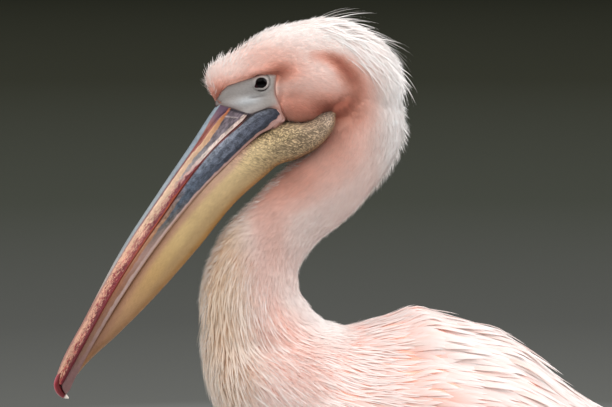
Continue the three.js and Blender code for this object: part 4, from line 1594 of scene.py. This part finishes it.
def ramus_place(side):
    def place(u, v):
        share, reach = capped(v, 0.008)
        along = blend(-32, 386.5, np.where(share < 0.1, share**1.5 / 0.1**0.5, share))
        turn = u * 2 * math.pi
        low, top = ramus_low(along), ramus_top(along)
        tall = top - low
        upright = np.sign(np.cos(turn)) * np.abs(np.cos(turn)) ** 0.75
        height = low + tall / 2 * (1 + reach * upright)
        swell = np.sign(np.sin(turn)) * np.abs(np.sin(turn)) ** 0.5
        offset = ramus_outer(along) - ramus_half(along) * (1 - reach * swell)
        above = height - low
        tuck = ease(1, -1, above - LILAC_END(along)) * ease(60, 20, along)
        offset = offset - 1.8 * tuck * (swell > 0)

        brown, lilac, dark, blue, top_band_and_highlight = (running(along, *each) for each in ARM)
        ragged = above + 0.8 * rough(along / 5, above / 3, 8) * ease(1, 3, above)
        paint = banded(
            ragged, 0.5, brown, (LILAC_START(along), lilac), (LILAC_END(along), dark),
            (LILAC_END(along) + 0.2 * tall, blue), (0.74 * tall, top_band_and_highlight),
        )
        rear = ease(-22, -30, along) * ease(-0.5, 1, above - LILAC_END(along))
        paint = blend(paint, shade_of("#262833"), (0.7 * rear)[:, None])
        # Painted shade: the top edge near the base is near black where the arm tucks under the
        # upper bill and the face.
        outline = ease(tall - blend(2.6, 1.8, ease(-8, 8, along)), tall - 1.0, above)
        paint = blend(paint, shade_of("#1a0f13"), (0.95 * outline * ease(26, 8, along))[:, None])
        red_line = ease(tall - 1.0, tall - 0.5, above) * ease(-8, 6, along) * ease(190, 140, along)
        paint = blend(paint, shade_of("#5a1a12"), (0.85 * red_line)[:, None])
        blotched = ease(-0.6, 0.8, above - LILAC_END(along)) * ease(190, 120, along)
        marks = bare_marks(paint, 0.3 + 1.4 * blotched, along, above)
        return on_bill(along, height, side * offset), marks

    return place


# Smoother keratin, duller than the sheath, with rounder blotches from 1 to 7 mm across.
blue_horn = bill_finish("mottled_horn", 0.5, 0.85, (0.7, 1, 1), 0.0006, contrast=0.36)
for side, name in SIDES:
    piece(bent_grid(f"lower_bill_{name}", 110, 300, ramus_place(side)), "mandible", blue_horn,
          replaces=[f"mandible_{name}"])


# %% [markdown]
# ### Pouch
#
# The pouch hangs full at the throat and is drawn tight between the arms further out. It is one
# closed form whose section changes from boxy to a narrower keel. Its skin is pebbled at the
# throat, creased where it starts to stretch and finely veined beyond, so three patterns share the
# surface, and marks on its points say how much of each shows.

# %% Pouch
# The pouch: its lower half, its side, the band beside the arm and the lowest edge.
POUCH = [
    [  # grey
        (-60, "#8f7c6e"), (-40, "#a89078"), (-15, "#ae9478"), (30, "#a8926c"), (90, "#b4976b"),
        (210, "#b38f66"), (300, "#9f7b57"), (350, "#8d6948"),
    ],
    [  # ochre
        (-60, "#9c8878"), (-40, "#b29a80"), (-10, "#b8a078"), (30, "#bba47b"), (90, "#c4a87b"),
        (160, "#caab76"), (210, "#c29c66"), (270, "#b48a63"), (330, "#966c50"),
    ],
    [  # flesh
        (-60, "#7a5a4c"), (-20, "#b08c74"), (0, "#b59078"), (60, "#b3917a"), (150, "#b48a6e"),
        (240, "#ad8061"), (330, "#875f47"),
    ],
    [  # orange
        (-20, "#8d6a4a"), (20, "#a87a42"), (60, "#b07c40"), (150, "#b8843f"), (300, "#9c6a38"),
    ],
]


def pouch_place(u, v):
    share, reach = capped(v, 0.012)
    along = blend(-62, 371, share)
    turn = u * 2 * math.pi
    rise = (pouch_top(along) - pouch_low(along)) / 2
    middle = (pouch_top(along) + pouch_low(along)) / 2
    at_throat, below_middle = ease(50, -20, along), np.cos(turn) < 0
    boxy = np.where(below_middle, 1 - 0.5 * at_throat, 1)
    full = 1 - 0.28 * (1 - at_throat) * np.maximum(0, -np.cos(turn)) ** 2
    height = middle + rise * reach * np.sign(np.cos(turn)) * np.abs(np.cos(turn)) ** boxy
    swell = np.sign(np.sin(turn)) * np.abs(np.sin(turn)) ** boxy
    offset = pouch_half(along) * full * reach * swell
    above = height - pouch_low(along)
    grey, ochre, flesh, orange = (running(along, *each) for each in POUCH)
    seen = ramus_low(along) - height
    paint = banded(
        seen, 4, flesh, (blend(0, 8, ease(0, 60, along)), ochre), (24, blend(ochre, grey, 0.6)),
    )
    paint = blend(orange, paint, ease(0, 12, above)[:, None])
    patches = 1 + 0.06 * rough(along / 16, turn * 2.5, 9) + 0.04 * rough(along / 5, turn * 8, 10)
    # Painted light: the skin is painted brighter at the throat and in the band under the arm, to
    # lift the shade that falls there.
    near_arm = ease(120, 0, along) * ease(0, 16, pouch_top(along) - height)
    painted_light_factor = blend(1.27, 0.94, ease(-50, 220, along)) + 0.28 * near_arm
    paint = paint * (patches * painted_light_factor)[:, None]
    throat = ease(46, -6, along + 9 * rough(turn * 3, along / 12))
    wrinkled = ease(-30, 0, along) * ease(70, 25, along)
    marks = bare_marks(paint, 0, along, turn * 40, pebbled=throat, wrinkled=wrinkled)
    return on_bill(along, height, offset), marks


# Bare elastic skin with a dull sheen. The pebbles are granules about 2 mm apart. The granules
# are painted paler on top and darker in the gaps, and the wrinkles darker in their creases, as
# painted light and shade.
pouch_skin, tree, output = new_material("pouch_skin")
paint, pebbled, wrinkled, surface = (
    add(tree, "Attribute", attribute_name=mark)
    for mark in ("paint", "pebbled", "wrinkled", "surface")
)
pebbles = add(tree, "TexVoronoi", {"Vector": surface.outputs["Vector"], "Scale": 0.5,
                                   "Randomness": 0.9})
across = add(tree, "Mapping", {0: surface.outputs["Vector"], "Scale": (0.55, 0.13, 1)})
wrinkles = add(tree, "TexNoise", {"Vector": across, "Scale": 1.0, "Detail": 3.0,
                                  "Distortion": 0.8})
vein_places = add(tree, "Mapping", {0: surface.outputs["Vector"], "Scale": (0.16, 0.6, 1)})
veins = add(tree, "TexNoise", {"Vector": vein_places, "Scale": 1.3, "Detail": 4.0})
grain = add(tree, "TexNoise", {"Vector": surface.outputs["Vector"], "Scale": 1.3, "Detail": 4.0})
speckled = add(tree, "Math", {0: veins, 1: grain}, operation="ADD")
smooth_part = add(tree, "MapRange", {0: speckled, 1: 0.78, 2: 1.22, 3: 0.84, 4: 1.16})
# painted shade between the granules and a paler top on each
pebble_shading = add(tree, "MapRange", {0: pebbles.outputs["Distance"], 1: 0.15, 2: 0.62, 3: 1.38,
                                    4: 0.4})
# painted shade in the wrinkles
fold_shading = add(tree, "MapRange", {0: wrinkles, 1: 0.36, 2: 0.6, 3: 0.55, 4: 1.12})
value = add(tree, "Mix", {0: pebbled.outputs["Fac"], 2: smooth_part, 3: pebble_shading})
creased = add(tree, "Math", {0: value, 1: fold_shading}, operation="MULTIPLY")
both = add(tree, "Mix", {0: wrinkled.outputs["Fac"], 2: value, 3: creased})
toned = add(tree, "HueSaturation", {"Value": both, "Color": paint})
rise = add(tree, "Math", {0: pebbles.outputs["Distance"], 1: pebbled.outputs["Fac"]},
           operation="MULTIPLY")
deep = add(tree, "Bump", {"Height": rise, "Strength": 0.9, "Distance": 0.0012}, invert=True)
bump = add(tree, "Bump", {"Height": grain, "Strength": 0.3, "Distance": 0.0006,
                          "Normal": deep})
finish_surface(tree, output, Base_Color=toned, Roughness=0.55, Normal=bump,
               Specular_IOR_Level=0.35)
piece(bent_grid("throat_pouch", 160, 300, pouch_place), "pouch", pouch_skin, replaces=["pouch"])

# %% [markdown]
# ## Bare face and eyes
#
# The skin round the eye is bare, smooth and nearly white, and swells towards the gape, where it
# meets the bill. The lids are a soft ring over the eyeball. Both follow from the side view, so the
# face is a grid in that view whose third coordinate is the head's own half width.

# %% The form of the face
gape_height = profile([-227, 714], [-212, 712], [-188, 705], [-180, 707], [-162, 714], [-150, 708])
gape_half = profile([-232, 2], [-227, 5], [-219, 11], [-212, 15], [-200, 19.5], [-188, 23],
                    [-175, 28], [-162, 31], [-150, 33])


EYE_CORNER = 217  # degrees round the eye, from the back and up


def eye_opening(dx, dz):
    """Where a place lies between the middle of the eye's opening, 0, and its edge, 1. The opening
    is nearly round and drawn out to a corner in front, below."""
    bearing = np.degrees(np.arctan2(dz, dx)) % 360
    corner = 1 + 0.42 * hill(bearing, EYE_CORNER, 18)
    return np.hypot(dx / 7.2, dz / 6.6) / corner


def head_side(x, z):
    """How far the head's side stands from its middle plane."""
    middle, rise = (crown(x) + chin(x)) / 2, (crown(x) - chin(x)) / 2
    plain = head_half(x) * np.sqrt(np.clip(1 - ((z - middle) / rise) ** 2, 0, 1))
    size = CHEEK["size"]
    bulge = 1 - ((x - CHEEK["x"]) / size[0]) ** 2 - ((z - CHEEK["z"]) / size[2]) ** 2
    cheek = np.where(bulge > 0, CHEEK["y"] + size[1] * np.sqrt(np.maximum(bulge, 0)), 0)
    return np.log(np.exp(plain / 2.5) + np.exp(cheek / 2.5)) * 2.5


def face_form(x, z):
    """How far the bare face stands from the bird's middle plane."""
    y = head_side(x, z) - 3.2
    y = blend(y, np.maximum(y, gape_half(x) - 1.2), ease(24, 0, z - gape_height(x)))
    dx, dz = x - EYE["x"], z - EYE["z"]
    away, opening = np.hypot(dx, dz), eye_opening(dx, dz)
    eyeball = EYE["y"] + np.sqrt(np.clip((EYE["radius"] + 0.6) ** 2 - away**2, 0, None))
    lid = ease(2.1, 1.1, opening) * (away < EYE["radius"] + 0.5)
    y = blend(y, np.maximum(eyeball, y - 2), lid)
    bearing = np.degrees(np.arctan2(dz, dx))
    y = y - 1.1 * hill(bearing, -60, 52) * hill(away, 9.9, 0.9) + 0.5 * hill(away, 12.2, 1.4)
    fold = hill(z - 0.18 * (x + 179), 725.5, 2) * ease(-192, -186, x) * ease(-166, -174, x)
    y = y - 0.7 * fold
    swelling = mound(x, z - 0.15 * (x + 191), (-191, 720.5), (15, 6))
    return y + 1.9 * swelling - 5 * ease(0.98, 0.8, opening)


def face_colours(x, z, out):
    """The bare skin's colour, with out the distance from the face's outline. It holds painted
    shade under the brow, in the fold and in the crease under the eye, and painted highlights on
    the swelling and on the ridge below the eye.
    """
    dx, dz = x - EYE["x"], z - EYE["z"]
    away, bearing = np.hypot(dx, dz), np.degrees(np.arctan2(dz, dx))
    skin = running(x, (-226, "#aba29d"), (-205, "#ada6a2"), (-190, "#b1aba8"), (-170, "#afa8a3"),
                   (-156, "#ae9d95"))
    layers = [
        # painted shade under the brow, on the upper front of the face
        ("#857a75", 0.35 * ease(-14, -3, out) * ease(730, 742, z) * ease(-176, -200, x)),
        ("#7d6a66", 0.7 * ease(9, 1, z - gape_height(x)) * ease(-192, -205, x)),
        ("#7a6b66", 0.6 * ease(8, 1, z - gape_height(x)) * ease(-192, -184, x)),
        # painted highlight on the swelling below the eye
        ("#d6dadd", 0.85 * mound(x, z - 0.15 * (x + 191), (-191, 721.5), (15, 5))),
        # painted highlight on the ridge below the eye
        ("#cfcac6", 0.7 * hill(away, 12.1, 1.4) * hill(bearing, -50, 70)),
        ("#d4ccc6", 0.75 * hill(away, 8, 1.2) * hill(bearing, -35, 75)),
        # painted shade in the crease under the eye
        ("#43343a", 0.95 * hill(away, 9.9, 0.75) * hill(bearing, -65, 55)),
        # painted shade in the fold
        ("#8a827e", 0.6 * hill(z - 0.18 * (x + 179), 726, 1.3) * ease(-190, -184, x)
         * ease(-168, -175, x)),
        ("#8a766d", 0.75 * ease(-4.5, -0.5, out) * ease(720, 736, z) * ease(-160, -168, x)),
        ("#b08073", 0.9 * ease(-3, 0, out) * ease(-168, -161, x) * ease(712, 720, z)),
        ("#6b4238", 0.8 * ease(-1.6, -0.2, out) * ease(716, 728, z) * ease(-158, -164, x)),
        ("#4a2a2c", 0.85 * ease(2.6, 0.4, z - gape_height(x)) * ease(-150, -170, x)),
        ("#958e88", 0.7 * mound(x, z, (-166, 721), (9, 7))),
        ("#bd8b7d", 0.9 * ease(-168, -158, x) * ease(722, 711, z)),
    ]
    for code, much in layers:
        skin = blend(skin, shade_of(code), np.clip(much, 0, 1)[:, None])
    return skin * 0.93


def face_place(side):
    def place(u, v):
        x, z = blend(-236, -140, u), blend(686, 762, v)
        y = face_form(x, z)
        out = edge_distance(placed(x, y, z), FACE)
        y = y - 1.7 * np.clip(out, 0, 8)
        opening = eye_opening(x - EYE["x"], z - EYE["z"])
        spare = (out > 5) | (x < -228) | (opening < 0.75)
        return placed(x, side * y, z), bare_marks(face_colours(x, z, out), 0.3, x, z, spare=spare)

    return place


# Thin skin, matt and faintly mottled, with a grain 2 to 3 mm across.
bare_skin = bill_finish("bare_skin", 0.5, 0.55, (0.6, 1, 1), 0.0003)
for side, name in SIDES:
    piece(bent_grid(f"face_{name}", 150, 120, face_place(side), solid=False), "plumage", bare_skin)


# %% [markdown]
# ### Eyes and lids
#
# The eye is a wet ball, nearly black, with an iris that is only a little redder, so one sphere does
# whose colour reads the distance from its middle. The lids are a thin tube swept round the eye's
# opening, which closes the gap between the face and the ball.

# %% Eyes
def eye_place(side):
    def place(u, v):
        places, _ = ball((0, 0, 0), EYE["radius"])(u, v)
        dx, dy, dz = places.T
        bearing = np.degrees(np.arctan2(dz, dx)) % 360
        corner = hill(bearing, EYE_CORNER, 24) * ease(5.2, 7.4, np.hypot(dx, dz))
        iris = running(
            eye_opening(dx, dz), (0.62, "#040303"), (0.8, "#110504"), (1.2, "#1a0706"),
        )
        iris = blend(iris, shade_of("#2e0710"), corner[:, None])
        marks = bare_marks(np.where((dy * side > 0)[:, None], iris, 0.02), 0, dx, dz)
        return places + [EYE["x"], side * EYE["y"], EYE["z"]], marks

    return place


def lid_place(side):
    def place(u, v):
        around, tube = v * 2 * math.pi, u * 2 * math.pi
        way = placed(np.cos(around), np.sin(around))
        edge = (1 / eye_opening(way[:, 0], way[:, 1]))[:, None] * way
        thick = 0.55
        flat = edge + way * (thick * (np.cos(tube) + 0.7))[:, None]
        dy = np.sqrt(np.clip((EYE["radius"] + 0.1) ** 2 - (edge**2).sum(-1), 4, None))
        dy = dy + thick * 0.7 * np.sin(tube) - 0.4 * (np.cos(tube) + 0.75)
        inner = ease(0.1, -0.7, np.cos(tube))
        right = ease(-0.5, 0.6, np.cos(around) - 0.4 * np.sin(around))
        outer = blend(shade_of("#94857d"), shade_of("#cdc5c0"), right[:, None])
        shade = blend(outer, shade_of("#1c1213"), inner[:, None])
        places = placed(EYE["x"] + flat[:, 0], side * (EYE["y"] + dy), EYE["z"] + flat[:, 1])
        return places, bare_marks(shade, 0.2, around * 7, tube)

    return place


# A wet cornea: smooth, with one small highlight.
eyeball, tree, output = new_material("wet_eye")
paint = add(tree, "Attribute", attribute_name="paint")
finish_surface(tree, output, Base_Color=paint, Roughness=0.12, Specular_IOR_Level=0.1)
for side, name in SIDES:
    piece(bent_grid(f"eyeball_{name}", 64, 64, eye_place(side)), "eye", eyeball,
          replaces=[f"eye_{name}"])
    piece(bent_grid(f"lids_{name}", 16, 96, lid_place(side)), "plumage", bare_skin)

# %% [markdown]
# ## Legs and feet
#
# The shank and the webbed foot are bare, scaly and flesh-coloured. They follow the solids, whose
# copies are melted together and smoothed.

# %% Legs
# Leathery skin with a satin gloss, in scales about 2 mm across.
leg_skin, tree, output = new_material("scaly_leg_skin")
place = add(tree, "TexCoord")
scales = add(tree, "TexVoronoi", {"Vector": place.outputs["Object"], "Scale": 520.0})
tone = add(tree, "ValToRGB", {0: scales.outputs["Distance"]},
           stops=[(0.0, "#dfa78b"), (0.5, "#d49878"), (0.8, "#b57b60")])
bump = add(tree, "Bump", {"Height": scales.outputs["Distance"], "Strength": 0.7,
                          "Distance": 0.0008}, invert=True)
finish_surface(tree, output, Base_Color=tone, Roughness=0.55, Normal=bump)


def copy_of(name, nodes):
    """One mesh of those solids."""
    shape = bmesh.new()
    for node in nodes:
        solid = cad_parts[node]
        before = len(shape.verts)
        shape.from_mesh(solid.data)
        shape.verts.ensure_lookup_table()
        bmesh.ops.transform(shape, matrix=solid.matrix_world, verts=shape.verts[before:])
    return to_mesh(name, shape)


for _, name in SIDES:
    nodes = [f"shank_{name}", f"foot_{name}"]
    leg = melted(copy_of(f"leg_{name}", nodes), 0.0014, 0.5, 5)
    piece(leg, "legs", leg_skin, replaces=nodes)

# %% Claws
# The claws keep their own solids, and take the brown of dull worn horn.
claw_horn, tree, output = new_material("claw_horn")
place = add(tree, "TexCoord")
wear = add(tree, "TexNoise", {"Vector": place.outputs["Object"], "Scale": 500.0, "Detail": 3.0})
tone = add(tree, "ValToRGB", {0: wear}, stops=[(0.35, "#4a3a30"), (0.65, "#6d594a")])
finish_surface(tree, output, Base_Color=tone, Roughness=0.5)
claws = [solid for name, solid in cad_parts.items() if name.startswith("claw")]
for solid in claws:
    solid.material_slots[0].material = claw_horn
print(len(claws), "claws in horn")
